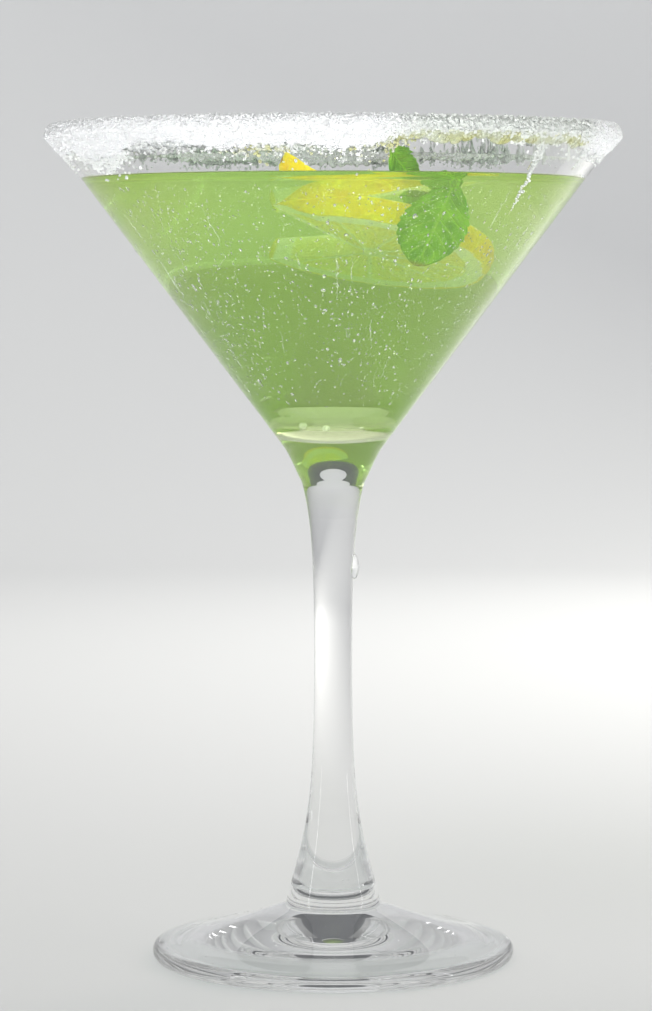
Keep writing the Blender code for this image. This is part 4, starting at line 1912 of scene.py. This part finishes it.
@dataclass
class Studio:
    """A pale floor that curves up into a backdrop, soft lamps, and the camera."""

    camera_distance: float = 0.700
    camera_height: float = 0.145
    camera_side: float = -0.0015
    camera_pitch: float = math.radians(4.09)
    lens: float = 119.8
    floor_start: float = 0.9
    floor_reach: float = 1.6
    floor_rise: float = 2.0
    floor_drop: float = 0.1 * MM
    floor_steps: int = 96
    surround: Color = (0.80, 0.83, 0.87)
    surround_strength: float = 0.16
    light_bounces: int = 24
    lamps: tuple[Lamp, ...] = (
        Lamp(LampRole.KEY, (-0.45, -0.75, 0.95), (0.0, 0.0, 0.14), (0.9, 0.9), 7.0),
        Lamp(LampRole.LOW, (-0.10, -0.95, 0.04), (0.0, 0.0, 0.15), (1.0, 0.12), 1.5),
        Lamp(
            LampRole.UNDER, (0.0, -0.32, 0.02), (0.0, -0.03, 0.15), (0.3, 0.04), 0.16, spread=math.radians(50)
        ),
        Lamp(LampRole.FILL, (0.85, -0.35, 0.45), (0.0, 0.0, 0.12), (0.6, 0.8), 2.2),
        Lamp(LampRole.EDGE, (0.5, 0.65, 0.55), (0.0, 0.0, 0.13), (0.4, 0.5), 9.0, (1.0, 0.98, 0.92)),
        Lamp(LampRole.BACK, (0.0, 0.75, 1.25), (0.0, 1.4, 0.25), (1.4, 0.5), 10.0),
        Lamp(LampRole.STRIP_LEFT, (-0.75, -0.35, 0.35), (0.0, 0.0, 0.12), (0.05, 0.8), 0.5, mirrored=True),
        Lamp(LampRole.STRIP_RIGHT, (0.7, -0.15, 0.35), (0.0, 0.0, 0.12), (0.03, 0.8), 0.35, mirrored=True),
    )

    def build_stage(self) -> bpy.types.Object:
        """A round floor whose outer part sweeps up all round: height = rise * (r - start)^2 past the
        start.

        Returns:
            The floor.
        """
        flat = np.linspace(0, self.floor_start, 12)
        radius = np.concatenate([flat, np.linspace(self.floor_start, self.floor_reach, 40)[1:]])
        height = self.floor_rise * np.clip(radius - self.floor_start, 0, None) ** 2
        angle = np.linspace(0, 2 * np.pi, self.floor_steps, endpoint=False)
        points = round_axis(radius[:, None], angle, height[:, None] - self.floor_drop).reshape(-1, 3)
        faces = grid_quads(len(radius), self.floor_steps, wrap_columns=True)
        mesh = bpy.data.meshes.new("stage")
        mesh.from_pydata(points.tolist(), [], faces.tolist())
        mesh.shade_smooth()
        mesh.materials.append(StageFinish().make())
        made = bpy.data.objects.new("stage", mesh)
        bpy.context.scene.collection.objects.link(made)
        return made

    def build_world(self) -> None:
        """A soft grey surround."""
        world = bpy.data.worlds.new("soft_surround")
        world.use_nodes = True
        background = world.node_tree.nodes["Background"]
        background.inputs["Color"].default_value = (*self.surround, 1.0)
        background.inputs["Strength"].default_value = self.surround_strength
        bpy.context.scene.world = world

    def build_camera(self) -> bpy.types.Object:
        """The camera, low in front of the glass and tipped down a little.

        Returns:
            The camera.
        """
        data = bpy.data.cameras.new("camera")
        data.lens = self.lens
        data.clip_start = 0.01
        made = bpy.data.objects.new("camera", data)
        made.location = (self.camera_side, -self.camera_distance, self.camera_height)
        made.rotation_euler = (math.pi / 2 - self.camera_pitch, 0.0, 0.0)
        bpy.context.scene.collection.objects.link(made)
        bpy.context.scene.camera = made
        return made

    def build(self) -> None:
        """Sets the stage, the surround, the lamps and the camera."""
        self.build_stage()
        self.build_world()
        for lamp in self.lamps:
            lamp.build()
        self.build_camera()
        scene = bpy.context.scene
        scene.view_settings.view_transform = "Standard"
        scene.cycles.volume_bounces = 3
        scene.cycles.max_bounces = self.light_bounces
        scene.cycles.transmission_bounces = self.light_bounces
        scene.cycles.glossy_bounces = self.light_bounces


def main() -> None:
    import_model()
    Studio().build()
    bowl = GlassBody.from_frame()
    bowl.build()
    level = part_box("drink")[1].z
    Drink(bowl, level).build()
    LemonWheel().build()
    mint = MintFinish().make()
    MintLeaf(
        "mint_leaf_large",
        length=19.5 * MM, width=14.5 * MM, fullness=0.85, curl=0.3, fold=0.1,
        tip=(16.0, -30.0, 145.8), toward=(22.3, -30.9, 163.6), facing=(0.05, -1.0, 0.1),
    ).build(mint)
    MintLeaf(
        "mint_leaf_small",
        length=9.5 * MM, width=7.0 * MM, fullness=0.9, curl=0.2, fold=0.06,
        tip=(16.6, -23.2, 161.3), toward=(11.4, -27.0, 167.0), facing=(0.1, -1.0, 0.3),
        teeth=8, side_veins=6, along_steps=110, across_steps=60,
    ).build(mint)
    SugarRim(bowl).build()
    Condensation(bowl).build()
    Bubbles(bowl, level).build()


if __name__ == "__main__":
    main()
